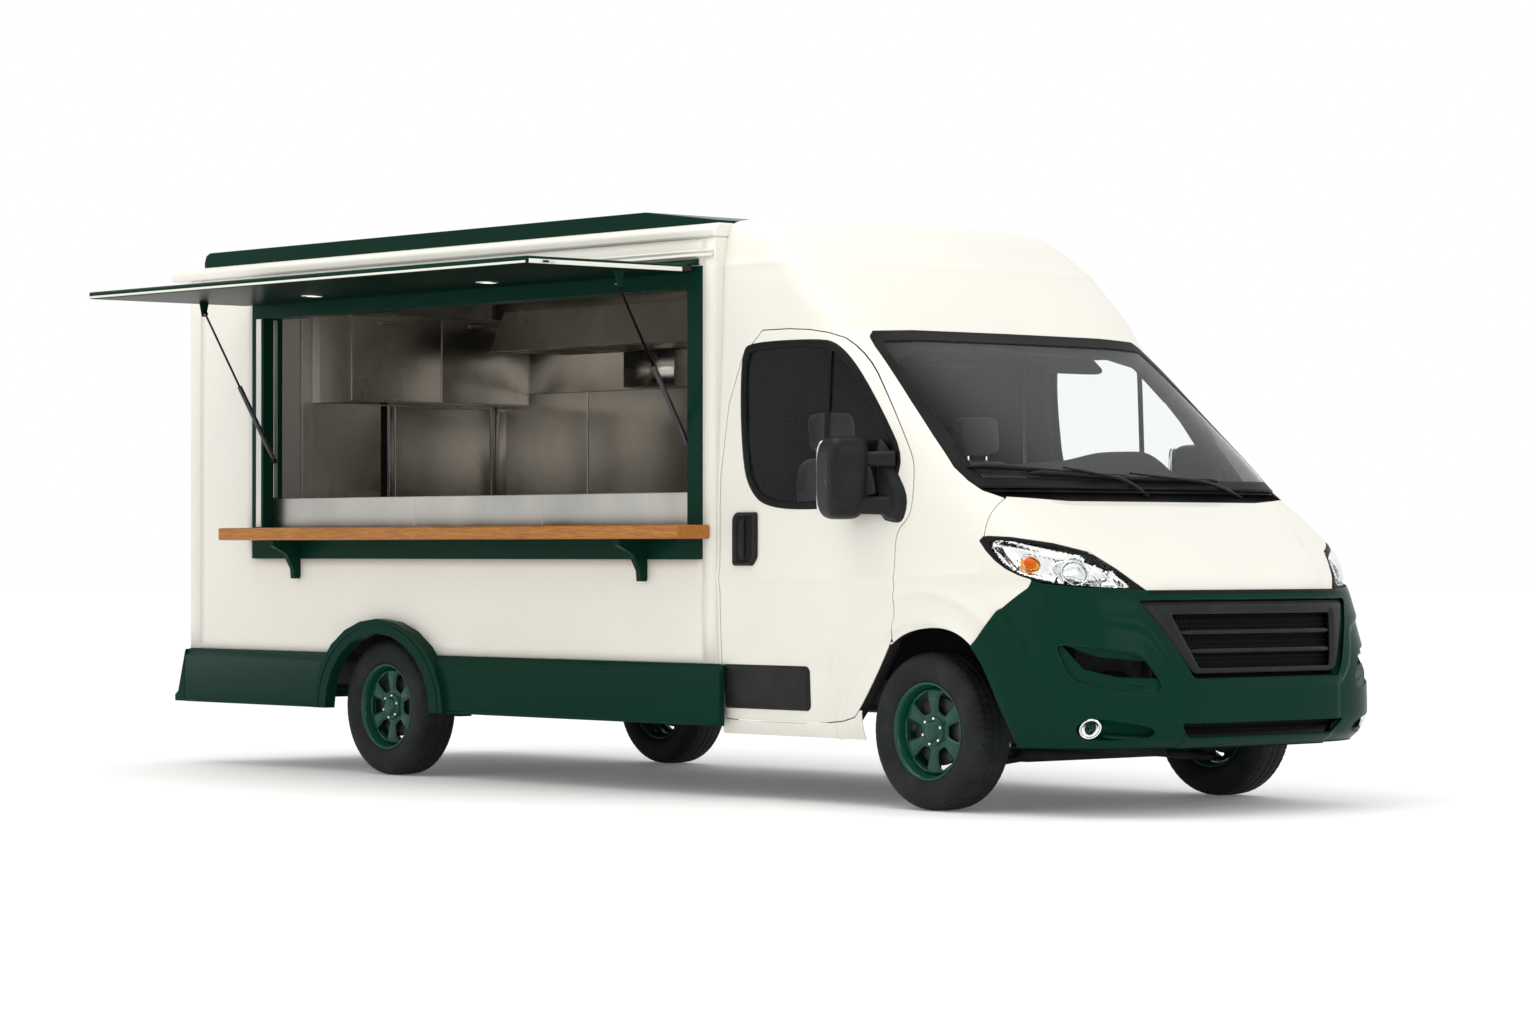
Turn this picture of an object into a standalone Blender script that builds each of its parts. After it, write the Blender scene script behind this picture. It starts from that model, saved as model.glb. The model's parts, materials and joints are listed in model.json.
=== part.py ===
"""Food truck: a van-fronted chassis cab with a kitchen box, an open service hatch and a shelf.

Metres, +Z up, +X forwards, the driver's left is +Y. Every size below is written in the truck's
own frame, which has x = 0 at the front axle, y = 0 on the centre line and z = 0 on the ground.
The parent empty moves the whole truck so that its box stands centred on the world's origin.
"""
import math

import bmesh
import bpy
from mathutils import Matrix, Vector

# Clearances
SEAT = 0.0003            # between pieces that rest on each other
SHUT = 0.005             # round a door, lid or bonnet
PIN_PLAY = 0.0008        # round a pin in its eye
LEAF_GAP = 0.0008        # between a door's curved inner face and its hinge leaf

# Wheels
WHEELBASE = 4.035
WHEEL_Y = 0.905          # half the track
TYRE_RADIUS = 0.35
TYRE_WIDTH = 0.225
BEAD_RADIUS = 0.203
RIM_HALF = 0.095
RIM_WALL = 0.010
SPOKES = 6
WHEEL_STEPS = 24
HUB_RADIUS = 0.066
SPINDLE_RADIUS = 0.030
KINGPIN_Y = 0.82
KINGPIN_RADIUS = 0.022

# Chassis
RAIL_Y = 0.42
RAIL_WIDTH = 0.07
RAIL_LOW = 0.43
RAIL_HIGH = 0.5597
RAIL_REAR = -5.62
RAIL_FRONT = 0.80
CARRIER_HALF = 0.48
CARRIER_TOP = 1.02
CROSSMEMBERS = (-5.55, -4.75, -3.30, -2.40, -1.30)
ENGINE_SIZE = (0.52, 0.62, 0.50)
ENGINE_CENTRE = (0.47, 0.0, 0.80)
TANK_SIZE = (0.95, 0.46, 0.22)
TANK_CENTRE = (-2.25, 0.71, 0.4495)

# Kitchen box
BOX_REAR = -5.77
BOX_FRONT = -1.3853
BOX_HALF = 1.04
WALL = 0.05
FLOOR_LOW = 0.56
FLOOR_HIGH = 0.62
WALL_TOP = 2.60
ROOF_TOP = 2.67
ROOF_LIP = 0.18
ROOF_SIDE = 1.052
CAP_REAR = -5.70
CAP_FRONT = -1.40
CAP_HALF = 1.0
CAP_TOP = 2.75
CAP_NOSE = 0.55

# Skirts and rear bumper
SKIRT_LOW = 0.335
SKIRT_HIGH = 0.62
SKIRT_OUT = 1.075
SKIRT_BAND = 0.04
SKIRT_FRONT = -1.32
ARCH_X = -3.975
ARCH_HALF = 0.56
ARCH_HEIGHT = 0.80
ARCH_INNER_HALF = 0.45
ARCH_INNER_HEIGHT = 0.725
ARCH_OUT = 1.105
BUMPER_REAR_END = -5.87
BUMPER_REAR_HIGH = 0.39

# Service window
WINDOW_REAR = -5.175
WINDOW_FRONT = -1.48
WINDOW_LOW = 1.105
WINDOW_HIGH = 2.47
POST = 0.105
SILL_TOP = 1.20
HEAD = 0.10
FRAME_OUT = 1.0455
FRAME_IN = 0.925

# Hatch and gas struts
HATCH_THICK = 0.035
HATCH_DEPTH = 0.975
HATCH_REAR = -5.17
HATCH_FRONT = -1.50
HATCH_AXIS_Y = -1.085
HATCH_AXIS_Z = 2.475
STRUT_LOW_Y = -1.0
STRUT_LOW_Z = 1.62
STRUT_REACH = 0.35
STRUT_DROP = 0.095
STRUT_INSET = 0.036
TUBE_RADIUS = 0.013
ROD_RADIUS = 0.006
TUBE_LENGTH = 0.445
ROD_LENGTH = 0.446
EYE_RADIUS = 0.014
EYE_WIDTH = 0.016
STRUT_PIN = 0.006

# Shelf
SHELF_LOW = 1.2003
SHELF_HIGH = 1.265
SHELF_OUT = 1.245
SHELF_REAR = -5.20
SHELF_FRONT = -1.42
BRACKETS_X = (-4.75, -1.90)
BRACKET_LOW = 1.0
BRACKET_THICK = 0.035

# Cab: height, foremost point, half width, squareness of the corner, where the corner starts
CAB_SECTIONS = (
    (0.300, 1.020, 0.985, 3.3, 0.25),
    (0.345, 1.075, 1.000, 3.4, 0.22),
    (0.430, 1.110, 1.012, 3.5, 0.20),
    (0.610, 1.106, 1.020, 3.5, 0.15),
    (0.800, 1.060, 1.028, 3.4, 0.08),
    (0.900, 1.030, 1.030, 3.3, 0.04),
    (0.972, 1.000, 1.030, 3.3, 0.00),
    (1.060, 0.900, 1.030, 4.3, -0.05),
    (1.150, 0.775, 1.030, 5.4, -0.10),
    (1.250, 0.640, 1.030, 5.7, -0.20),
    (1.345, 0.505, 1.030, 5.6, -0.35),
    (1.425, 0.410, 1.028, 5.5, -0.50),
    (1.600, 0.195, 1.022, 5.5, -0.62),
    (1.800, -0.065, 1.014, 5.8, -0.80),
    (2.000, -0.330, 1.006, 6.4, -0.95),
    (2.130, -0.500, 1.000, 7.0, -1.05),
    (2.240, -0.605, 0.997, 8.0, -1.12),
    (2.350, -0.720, 0.993, 8.0, -1.18),
    (2.460, -0.850, 0.988, 8.0, -1.23),
    (2.560, -0.990, 0.975, 7.0, -1.27),
    (2.625, -1.080, 0.955, 5.5, -1.30),
    (2.670, -1.160, 0.920, 4.5, -1.33),
    (2.695, -1.230, 0.800, 3.5, -1.34),
)
CAB_REAR = -1.385
CORNER_STEPS = 7
CAB_WALL = 0.05
DOOR_THICK = 0.07
BONNET_THICK = 0.03
BUMPER_THICK = 0.04
GLASS = 0.008
CAB_FLOOR = 0.60

DOOR_OUTLINE = (
    (-1.362, 2.155), (-0.66, 2.155), (-0.435, 2.015), (-0.25, 1.80), (-0.085, 1.575), (-0.06, 1.50),
    (-0.06, 1.36), (-0.085, 1.29), (-0.16, 1.235), (-0.175, 1.15), (-0.18, 0.80), (-0.215, 0.72),
    (-0.40, 0.46), (-0.50, 0.365), (-1.34, 0.365), (-1.362, 0.385),
)
DOOR_WINDOW = (
    (-1.225, 2.05), (-1.18, 2.09), (-0.70, 2.09), (-0.60, 2.065), (-0.467, 1.955), (-0.28, 1.74),
    (-0.135, 1.545), (-0.22, 1.42), (-0.34, 1.36), (-0.82, 1.343), (-1.05, 1.365), (-1.14, 1.43),
    (-1.19, 1.53), (-1.225, 1.80),
)
DOOR_HANDLE = ((-1.262, 1.08), (-1.13, 1.08), (-1.10, 1.12), (-1.10, 1.315), (-1.24, 1.315), (-1.262, 1.29))
HANDLE_PROUD = 0.018
RUB_STRIP = ((-1.335, 0.425), (-0.775, 0.425), (-0.755, 0.445), (-0.755, 0.595), (-0.775, 0.615), (-1.335, 0.615))
STRIP_PROUD = 0.010
DOOR_AXIS = (-0.048, 1.034)
LEAF_HEIGHTS = (1.10, 0.86)
FRONT_ARCH = (
    (-0.58, 0.20), (-0.548, 0.295), (-0.47, 0.41), (-0.361, 0.54), (-0.27, 0.67), (-0.17, 0.755),
    (-0.06, 0.795), (0.08, 0.81), (0.20, 0.80), (0.30, 0.755), (0.38, 0.67), (0.455, 0.52),
    (0.53, 0.36), (0.58, 0.20),
)
PILLAR_LINE = ((0.115, 1.385), (-0.56, 2.142))
GLASS_TOP = 2.128
GLASS_LOW = 1.43
GLASS_TOP_HALF = 0.868
COWL_DIP = 0.035          # how far the cowl lies under the skin of glass and bonnet
COWL_DEPTH = 0.08
COWL_LIP = 0.03
COWL_EDGE = ((0.60, 1.345), (0.93, 1.365), (1.08, 1.397))
BONNET_EDGE = ((0.60, 1.360), (0.93, 1.380), (1.15, 1.412))
BONNET_AXIS = (0.36, 1.392)
BONNET_SIDE_X = 0.385
BONNET_LOW = 0.974
NOSE_SPLIT = 0.968
LAMP_TOP_EDGE = (
    (-0.488, 1.212), (-0.335, 1.204), (-0.155, 1.178), (0.003, 1.139), (0.115, 1.070), (0.25, 0.972),
)
LAMP_LOW_EDGE = (
    (0.16, 0.972), (-0.02, 0.984), (-0.20, 1.006), (-0.335, 1.049), (-0.425, 1.118),
)
LAMP_DEPTH = 0.10
BUMPER_SIDE = ((0.30, 0.70), (0.327, 0.736), (0.46, 0.88), (0.60, 0.985), (0.64, 1.05))
GRILLE_TOP_HALF = 0.655
GRILLE_TOP = 0.928
GRILLE_LOW_HALF = 0.465
GRILLE_LOW = 0.598
GRILLE_OPENING = ((0.417, 0.635), (0.505, 0.875))
GRILLE_BARS = (0.715, 0.795)
GRILLE_BAR_HALF = 0.010
INTAKE_OUTLINE = ((-0.12, 0.745), (0.03, 0.69), (0.30, 0.665), (0.335, 0.60), (0.13, 0.605), (-0.02, 0.64))
FOG_POCKET = (
    (-0.057, 0.395), (-0.011, 0.424), (0.06, 0.428), (0.29, 0.391), (0.27, 0.340), (0.017, 0.334),
    (-0.045, 0.352),
)
FOG_DEPTH = 0.022
FOG_CENTRE = (0.006, 0.382)   # along the corner's diagonal and up
FOG_RADIUS = 0.040
LOW_INTAKE_HALF = 0.46
LOW_INTAKE = (0.345, 0.405)

# Mirrors
MIRROR_CENTRE = (-0.36, 1.150, 1.50)
MIRROR_SIZE = (0.20, 0.19, 0.38)
MIRROR_SWEEP = 22.0

# Cab inside
DASH_REAR = -0.40
DASH_TOP = 1.27
DASH_HALF = 0.87
FIREWALL = ((0.02, 0.90), (0.10, 1.31))
SEAT_WIDTH = 0.50
SEAT_Y = 0.47
SEAT_X = -0.92
STEERING_CENTRE = (-0.52, 0.47, 1.30)
STEERING_TILT = 62.0
STEERING_RADIUS = 0.20
STEERING_TUBE = 0.016

# Kitchen inside
LEFT_DEPTH = 0.62
WORKTOP = 1.42
HOOD = (-5.05, -3.35)
CUPBOARD_LOW = 1.96
CUPBOARD_HIGH = 2.44
CUPBOARD_DEPTH = 0.33

# Side door on the left
SIDE_DOOR_REAR = -2.62
SIDE_DOOR_FRONT = -1.86
SIDE_DOOR_LOW = 0.66
SIDE_DOOR_HIGH = 2.42

# The truck's box, centred on the origin
MIRROR_TIP = 1.262
NOSE_TIP = 1.11
TAIL_TIP = BOX_REAR - ROOF_LIP
HATCH_TIP = HATCH_AXIS_Y - HATCH_DEPTH
SHIFT_X = -(NOSE_TIP + TAIL_TIP) / 2
SHIFT_Y = -(HATCH_TIP + MIRROR_TIP) / 2

FINISHES = {
    "cream paint": ((0.86, 0.84, 0.78), 0.32, 0.0),
    "green paint": ((0.012, 0.085, 0.055), 0.35, 0.0),
    "green gloss": ((0.010, 0.100, 0.062), 0.22, 0.0),
    "black plastic": ((0.018, 0.020, 0.022), 0.55, 0.0),
    "rubber": ((0.012, 0.012, 0.013), 0.85, 0.0),
    "steel": ((0.25, 0.26, 0.27), 0.45, 0.9),
    "stainless": ((0.52, 0.48, 0.45), 0.32, 1.0),
    "wood": ((0.52, 0.24, 0.07), 0.45, 0.0),
    "glass": ((0.05, 0.07, 0.08), 0.05, 0.0),
    "lamp": ((0.80, 0.82, 0.84), 0.08, 0.0),
    "trim": ((0.05, 0.05, 0.055), 0.7, 0.0),
    "fabric": ((0.06, 0.06, 0.07), 0.9, 0.0),
}

for old in list(bpy.data.objects):
    bpy.data.objects.remove(old, do_unlink=True)

truck = bpy.data.collections.new("food truck")
bpy.context.scene.collection.children.link(truck)
workshop = bpy.data.collections.new("cutters")
bpy.context.scene.collection.children.link(workshop)
root = bpy.data.objects.new("truck_root", None)
root.location = (SHIFT_X, SHIFT_Y, 0.0)
truck.objects.link(root)


# Making shapes

def mesh_object(bm, name="form"):
    """Put a bmesh into a new object in the workshop collection, as a cutter until it is placed."""
    mesh = bpy.data.meshes.new(name)
    bm.to_mesh(mesh)
    bm.free()
    obj = bpy.data.objects.new(name, mesh)
    workshop.objects.link(obj)
    obj.hide_render = True
    obj.display_type = "WIRE"
    return obj


def block(low, high):
    """A box between two corners."""
    bm = bmesh.new()
    bmesh.ops.create_cube(bm, size=1.0)
    low, high = Vector(low), Vector(high)
    bmesh.ops.scale(bm, vec=high - low, verts=bm.verts)
    bmesh.ops.translate(bm, vec=(low + high) / 2, verts=bm.verts)
    return mesh_object(bm)


def as_mesh(obj):
    """Turn a curve object into a welded mesh object in the truck's frame."""
    graph = bpy.context.evaluated_depsgraph_get()
    mesh = bpy.data.meshes.new_from_object(obj.evaluated_get(graph))
    bm = bmesh.new()
    bm.from_mesh(mesh)
    bm.transform(obj.matrix_world)
    bmesh.ops.remove_doubles(bm, verts=bm.verts, dist=1e-5)
    bmesh.ops.recalc_face_normals(bm, faces=bm.faces)
    curve = obj.data
    bpy.data.objects.remove(obj)
    bpy.data.curves.remove(curve)
    bpy.data.meshes.remove(mesh)
    return mesh_object(bm)


PLANES = {
    "x": Matrix(((0, 0, 1, 0), (1, 0, 0, 0), (0, 1, 0, 0), (0, 0, 0, 1))),
    "y": Matrix(((1, 0, 0, 0), (0, 0, -1, 0), (0, 1, 0, 0), (0, 0, 0, 1))),
    "z": Matrix.Identity(4),
}


def curve_object(points, cyclic, dimensions):
    """A curve object with one straight-sided spline."""
    curve = bpy.data.curves.new("outline", "CURVE")
    curve.dimensions = dimensions
    spline = curve.splines.new("POLY")
    spline.points.add(len(points) - 1)
    for point, place in zip(spline.points, points):
        point.co = (*place, 1.0) if len(place) == 3 else (*place, 0.0, 1.0)
    spline.use_cyclic_u = cyclic
    obj = bpy.data.objects.new("outline", curve)
    workshop.objects.link(obj)
    return obj


def plate(outline, normal, low, high):
    """A flat outline, drawn in the plane across one axis, extruded between two places on it."""
    obj = curve_object(outline, True, "2D")
    obj.data.fill_mode = "BOTH"
    obj.data.extrude = (high - low) / 2
    middle = (low + high) / 2
    shift = {"x": (middle, 0, 0), "y": (0, middle, 0), "z": (0, 0, middle)}[normal]
    obj.matrix_world = Matrix.Translation(shift) @ PLANES[normal]
    bpy.context.view_layer.update()
    return as_mesh(obj)


def drum(start, end, radius, end_radius=None, segments=16):
    """A round bar or cone between two points."""
    start, end = Vector(start), Vector(end)
    run = end - start
    bm = bmesh.new()
    bmesh.ops.create_cone(
        bm, cap_ends=True, segments=segments, radius1=radius,
        radius2=radius if end_radius is None else end_radius, depth=run.length,
    )
    turn = run.to_track_quat("Z", "Y").to_matrix().to_4x4()
    bm.transform(Matrix.Translation((start + end) / 2) @ turn)
    return mesh_object(bm)


def turned(profile, segments):
    """A closed profile of (radius, place along Y) turned round the Y axis with a Screw modifier."""
    bm = bmesh.new()
    verts = [bm.verts.new((radius, along, 0.0)) for radius, along in profile]
    for one, two in zip(verts, verts[1:] + verts[:1]):
        bm.edges.new((one, two))
    obj = mesh_object(bm)
    screw = obj.modifiers.new("turn", "SCREW")
    screw.axis = "Y"
    screw.steps = segments
    screw.render_steps = segments
    screw.use_merge_vertices = True
    screw.merge_threshold = 1e-5
    bake(obj)
    bm = bmesh.new()
    bm.from_mesh(obj.data)
    bmesh.ops.remove_doubles(bm, verts=bm.verts, dist=1e-5)
    bmesh.ops.recalc_face_normals(bm, faces=bm.faces)
    bm.to_mesh(obj.data)
    bm.free()
    return obj


def bake(obj):
    """Keep what the object's modifiers give, and take the modifiers off."""
    bpy.context.view_layer.update()
    graph = bpy.context.evaluated_depsgraph_get()
    mesh = bpy.data.meshes.new_from_object(obj.evaluated_get(graph))
    old = obj.data
    obj.modifiers.clear()
    obj.data = mesh
    bpy.data.meshes.remove(old)


def combine(obj, tool, operation):
    """Cut, join or intersect with another form, which is used up."""
    modifier = obj.modifiers.new(operation.lower(), "BOOLEAN")
    modifier.solver = "EXACT"
    modifier.operation = operation
    modifier.object = tool
    bake(obj)
    mesh = tool.data
    bpy.data.objects.remove(tool)
    bpy.data.meshes.remove(mesh)
    return obj


def cut(obj, *tools):
    """Take each tool's space out of the form."""
    for tool in tools:
        combine(obj, tool, "DIFFERENCE")
    return obj


def join(obj, *tools):
    """Add each tool to the form, as one body."""
    for tool in tools:
        combine(obj, tool, "UNION")
    return obj


def common(obj, tool):
    """Keep only what lies in both."""
    return combine(obj, tool, "INTERSECT")


def copy_of(obj):
    """The same form again."""
    twin = obj.copy()
    twin.data = obj.data.copy()
    workshop.objects.link(twin)
    return twin


def moved(obj, shift=(0, 0, 0), turn=None):
    """Move or turn the form itself, about the truck's origin."""
    matrix = Matrix.Translation(shift)
    if turn is not None:
        matrix = matrix @ Matrix.Rotation(math.radians(turn[0]), 4, turn[1])
    obj.data.transform(matrix)
    return obj


def mirrored(obj):
    """The form's twin on the other side of the centre line."""
    twin = copy_of(obj)
    bm = bmesh.new()
    bm.from_mesh(twin.data)
    bmesh.ops.scale(bm, vec=(1, -1, 1), verts=bm.verts)
    bmesh.ops.reverse_faces(bm, faces=bm.faces)
    bm.to_mesh(twin.data)
    bm.free()
    return twin


def rounded(obj, width, segments=2, limit=40.0):
    """Round the form's edges that are sharper than the limit."""
    bevel = obj.modifiers.new("round", "BEVEL")
    bevel.width = width
    bevel.segments = segments
    bevel.limit_method = "ANGLE"
    bevel.angle_limit = math.radians(limit)
    bake(obj)
    return obj


def grown(outline, distance):
    """The outline moved outwards by a distance, each corner along its two edges' normals."""
    area = sum(a[0] * b[1] - b[0] * a[1] for a, b in zip(outline, outline[1:] + outline[:1]))
    side = 1.0 if area > 0 else -1.0
    result = []
    for index, place in enumerate(outline):
        before = Vector(outline[index - 1])
        here = Vector(place)
        after = Vector(outline[(index + 1) % len(outline)])
        first = (here - before).normalized()
        second = (after - here).normalized()
        normal_one = Vector((first.y, -first.x)) * side
        normal_two = Vector((second.y, -second.x)) * side
        middle = (normal_one + normal_two).normalized()
        stretch = distance / max(middle.dot(normal_one), 0.35)
        result.append(tuple(here + middle * stretch))
    return result


def finish_material(finish):
    """The Principled material of one finish, made once."""
    if finish in bpy.data.materials:
        return bpy.data.materials[finish]
    color, roughness, metallic = FINISHES[finish]
    material = bpy.data.materials.new(finish)
    material.use_nodes = True
    shader = material.node_tree.nodes["Principled BSDF"]
    shader.inputs["Base Color"].default_value = (*color, 1.0)
    shader.inputs["Roughness"].default_value = roughness
    shader.inputs["Metallic"].default_value = metallic
    return material


def place(obj, name, finish, pivot=(0.0, 0.0, 0.0), smooth=True):
    """Name a finished piece, put its origin on its pivot and hang it on the truck."""
    bm = bmesh.new()
    bm.from_mesh(obj.data)
    bmesh.ops.dissolve_degenerate(bm, dist=1e-6, edges=bm.edges)
    bm.to_mesh(obj.data)
    bm.free()
    obj.data.transform(Matrix.Translation(-Vector(pivot)))
    obj.location = pivot
    obj.name = name
    obj.data.name = name
    obj.data.materials.clear()
    obj.data.materials.append(finish_material(finish))
    if smooth:
        obj.data.shade_smooth()
        obj.data.set_sharp_from_angle(angle=math.radians(35))
    obj.hide_render = False
    obj.display_type = "TEXTURED"
    workshop.objects.unlink(obj)
    truck.objects.link(obj)
    obj.parent = root
    return obj


# The cab's outer form

def cab_form(inset=0.0, rear=CAB_REAR):
    """The whole cab as one lofted solid, its skin moved inwards by the inset.

    Each section is a closed outline at one height: straight sides, and a front that follows a
    superellipse from the side to the centre line. The inset moves a section inwards and down,
    by the slope of the nose there.
    """
    sections = []
    for index, (height, nose, half, power, start) in enumerate(CAB_SECTIONS):
        below = CAB_SECTIONS[max(index - 1, 0)]
        above = CAB_SECTIONS[min(index + 1, len(CAB_SECTIONS) - 1)]
        lean = (below[1] - above[1]) / (above[0] - below[0])
        flat = math.atan(max(lean, 0.0))
        low = height - inset * math.sin(flat)
        if index == 0 and inset:
            low -= 0.05
        sections.append((low, nose - inset * math.cos(flat), half - inset, power, start))
    angles = [math.pi / 2 * step / CORNER_STEPS for step in range(CORNER_STEPS + 1)]
    bm = bmesh.new()
    rings = []
    for height, nose, half, power, start in sections:
        left = [(rear, half)]
        for angle in reversed(angles):
            along = start + (nose - start) * max(math.cos(angle), 0.0) ** (2 / power)
            across = half * max(math.sin(angle), 0.0) ** (2 / power)
            left.append((along, across))
        right = [(along, -across) for along, across in reversed(left[:-1])]
        rings.append([bm.verts.new((along, across, height)) for along, across in left + right])
    count = len(rings[0])
    for low, high in zip(rings, rings[1:]):
        for index in range(count):
            after = (index + 1) % count
            bm.faces.new((low[index], high[index], high[after], low[after]))
    bm.faces.new(rings[0])
    bm.faces.new(rings[-1])
    bmesh.ops.recalc_face_normals(bm, faces=bm.faces)
    bmesh.ops.triangulate(bm, faces=bm.faces)
    return mesh_object(bm)


def cab_panel(region, thickness):
    """The part of the cab's skin that lies in a region, as thick as given."""
    panel = cab_form()
    common(panel, region)
    return cut(panel, cab_form(thickness, CAB_REAR - 0.2))


def diagonal(outline, low=-1.5, high=-0.72):
    """A form drawn across the front right corner's diagonal and extruded along it.

    An outline point is (distance along the diagonal's cross line, height).
    """
    form = plate(outline, "y", low, high)
    form.data.transform(Matrix.Rotation(math.radians(45), 4, "Z"))
    return form


def glass_region(gap):
    """Ahead of the pillars' line and between the pillars, seen from the front."""
    (low_x, low_z), (high_x, high_z) = PILLAR_LINE
    foot = COWL_EDGE[0][1] - 0.05
    return plate(
        [(low_x - gap, foot), (low_x - gap, low_z), (high_x - gap, high_z), (0.4, high_z + 0.02), (1.2, low_z),
         (1.2, foot)],
        "y", -1.2, 1.2,
    )


def front_plate(half_outline, gap):
    """A form drawn from the front as half an outline, mirrored, and extruded along the truck."""
    outline = list(half_outline) + [(-across, height) for across, height in reversed(half_outline)]
    return plate(grown(outline, gap), "x", -1.0, 1.2)


def glass_half(height):
    """Half the width of the windscreen's outline at a height, as seen from the front."""
    slope = (1.075 - GLASS_TOP_HALF) / (GLASS_TOP - COWL_EDGE[0][1])
    return GLASS_TOP_HALF + slope * (GLASS_TOP - height)


def windscreen_form(gap):
    """The windscreen's space, grown by a gap."""
    half = [(glass_half(GLASS_LOW), GLASS_LOW), (GLASS_TOP_HALF, GLASS_TOP)]
    return common(glass_region(gap), front_plate(half, gap))


def cowl_form(gap):
    """The space of the cowl between the windscreen's foot and the bonnet."""
    half = list(COWL_EDGE) + [(glass_half(GLASS_LOW), GLASS_LOW - SEAT)]
    return common(glass_region(gap), front_plate(half, gap))


def lamp_outline():
    return list(LAMP_TOP_EDGE) + list(LAMP_LOW_EDGE)


def lamp_and_below():
    """Everything under the lamp's upper edge, as far in as its inner tip."""
    return list(LAMP_TOP_EDGE) + [(0.25, 0.80), (-0.60, 0.80), (-0.60, 1.212)]


def lamp_and_above():
    """Everything over the lamp's lower edge, on past its inner tip."""
    low = [(0.25, NOSE_SPLIT + 0.002)] + list(LAMP_LOW_EDGE) + [(-0.488, 1.212)]
    return low + [(-0.488, 1.45), (0.42, 1.45), (0.42, NOSE_SPLIT + 0.002)]


def both_sides(form):
    """A form and its mirror image as two tools."""
    return form, mirrored(form)


def arch_tools():
    right = plate(FRONT_ARCH, "y", -1.3, -0.80)
    return both_sides(right)


def bumper_region(gap):
    """Under the nose split and the lamps, ahead of the slanting edge behind the corner."""
    outline = list(BUMPER_SIDE) + [(1.4, 1.05), (1.4, 0.15), (0.30, 0.15)]
    region = plate(grown(outline, gap), "y", -1.3, 1.3)
    upper = grown(lamp_and_above(), -gap)
    cut(region, *both_sides(diagonal(upper)))
    return cut(region, block((0.2, -0.60, NOSE_SPLIT + gap), (1.5, 0.60, 1.2)))


def bonnet_region(gap):
    """Ahead of the wing's line, above the nose split and below the cowl, less the lamps' corners."""
    half = [(1.3, BONNET_LOW), (1.3, BONNET_EDGE[-1][1])] + list(reversed(BONNET_EDGE))
    region = front_plate(half, gap)
    common(region, block((BONNET_SIDE_X - gap, -1.4, 0.9), (1.4, 1.4, 1.5)))
    return cut(region, *both_sides(diagonal(grown(lamp_and_below(), SHUT - gap))))


# Cab

def door_plate(gap, side):
    inner = 0.80 - gap * 4
    low, high = (-1.3, -inner) if side < 0 else (inner, 1.3)
    return plate(grown(list(DOOR_OUTLINE), gap), "y", low, high)


def hinge_leaves():
    """Two leaves on the front pillar, behind the door's inner face, on the right."""
    leaves = []
    for height in LEAF_HEIGHTS:
        leaf = block((-0.30, -1.0, height), (-0.10, -0.88, height + 0.07))
        common(leaf, cab_form(DOOR_THICK + LEAF_GAP, CAB_REAR - 0.2))
        root_block = block((-0.165, -1.0, height), (-0.05, -0.88, height + 0.07))
        common(root_block, cab_form(CAB_WALL - 0.01, CAB_REAR - 0.2))
        leaves.append(join(leaf, root_block))
    return leaves


def make_cab_shell():
    """Pillars, roof, wings, sills, floor and the wall between the engine and the cab."""
    shell = cab_form()
    cabin = plate(
        [(-1.7, CAB_FLOOR), (-0.58, CAB_FLOOR), (-0.52, 0.87), *FIREWALL, (1.2, FIREWALL[1][1]), (1.2, 2.9),
         (-1.7, 2.9)],
        "y", -1.2, 1.2,
    )
    common(cabin, cab_form(CAB_WALL, CAB_REAR - 0.2))
    bay = plate(
        [(-0.47, 0.1), (-0.47, 0.83), (0.06, 0.86), (0.14, 1.27), (1.3, 1.27), (1.3, 0.1)],
        "y", -1.2, 1.2,
    )
    common(bay, cab_form(BUMPER_THICK, CAB_REAR - 0.2))
    under = block((-1.6, -0.93, 0.1), (-0.46, 0.93, FLOOR_LOW))
    cut(shell, cabin, bay, under)
    cut(shell, windscreen_form(SEAT), cowl_form(SEAT))
    cut(shell, bonnet_region(SHUT), block((0.7, -0.75, NOSE_SPLIT - 0.01), (1.4, 0.75, BONNET_LOW)))
    cut(shell, bumper_region(SEAT))
    cut(shell, *both_sides(diagonal(grown(lamp_outline(), SEAT))))
    cut(shell, door_plate(SHUT, -1), door_plate(SHUT, 1))
    cut(shell, *arch_tools())
    for leaf in hinge_leaves():
        twin = mirrored(leaf)
        join(shell, leaf, twin)
    return place(shell, "cab_shell", "cream paint")


def door_pad(outline, proud):
    """A pad on the right door that stands proud of its skin and is let a little into it."""
    pad = common(plate(list(outline), "y", -1.3, -0.80), cab_form(-proud))
    return cut(pad, cab_form(0.01, CAB_REAR - 0.2))


def make_doors():
    """Both cab doors, as thick as a real door, with their windows, handles and rub strips."""
    region = door_plate(0.0, -1)
    door = cab_panel(region, DOOR_THICK)
    window = plate(list(DOOR_WINDOW), "y", -1.3, -0.80)
    cut(door, window)
    join(door, door_pad(DOOR_HANDLE, HANDLE_PROUD), door_pad(RUB_STRIP, STRIP_PROUD))
    glass = plate(grown(list(DOOR_WINDOW), -SEAT), "y", -1.3, -0.80)
    pane = cab_form(0.03)
    common(pane, glass)
    cut(pane, cab_form(0.03 + GLASS, CAB_REAR - 0.2))
    pivot = (DOOR_AXIS[0], DOOR_AXIS[1], 1.0)
    twin, twin_pane = mirrored(door), mirrored(pane)
    place(twin, "door_left", "cream paint", pivot)
    place(twin_pane, "door_glass_left", "glass", pivot)
    pivot = (DOOR_AXIS[0], -DOOR_AXIS[1], 1.0)
    place(door, "door_right", "cream paint", pivot)
    place(pane, "door_glass_right", "glass", pivot)


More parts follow.
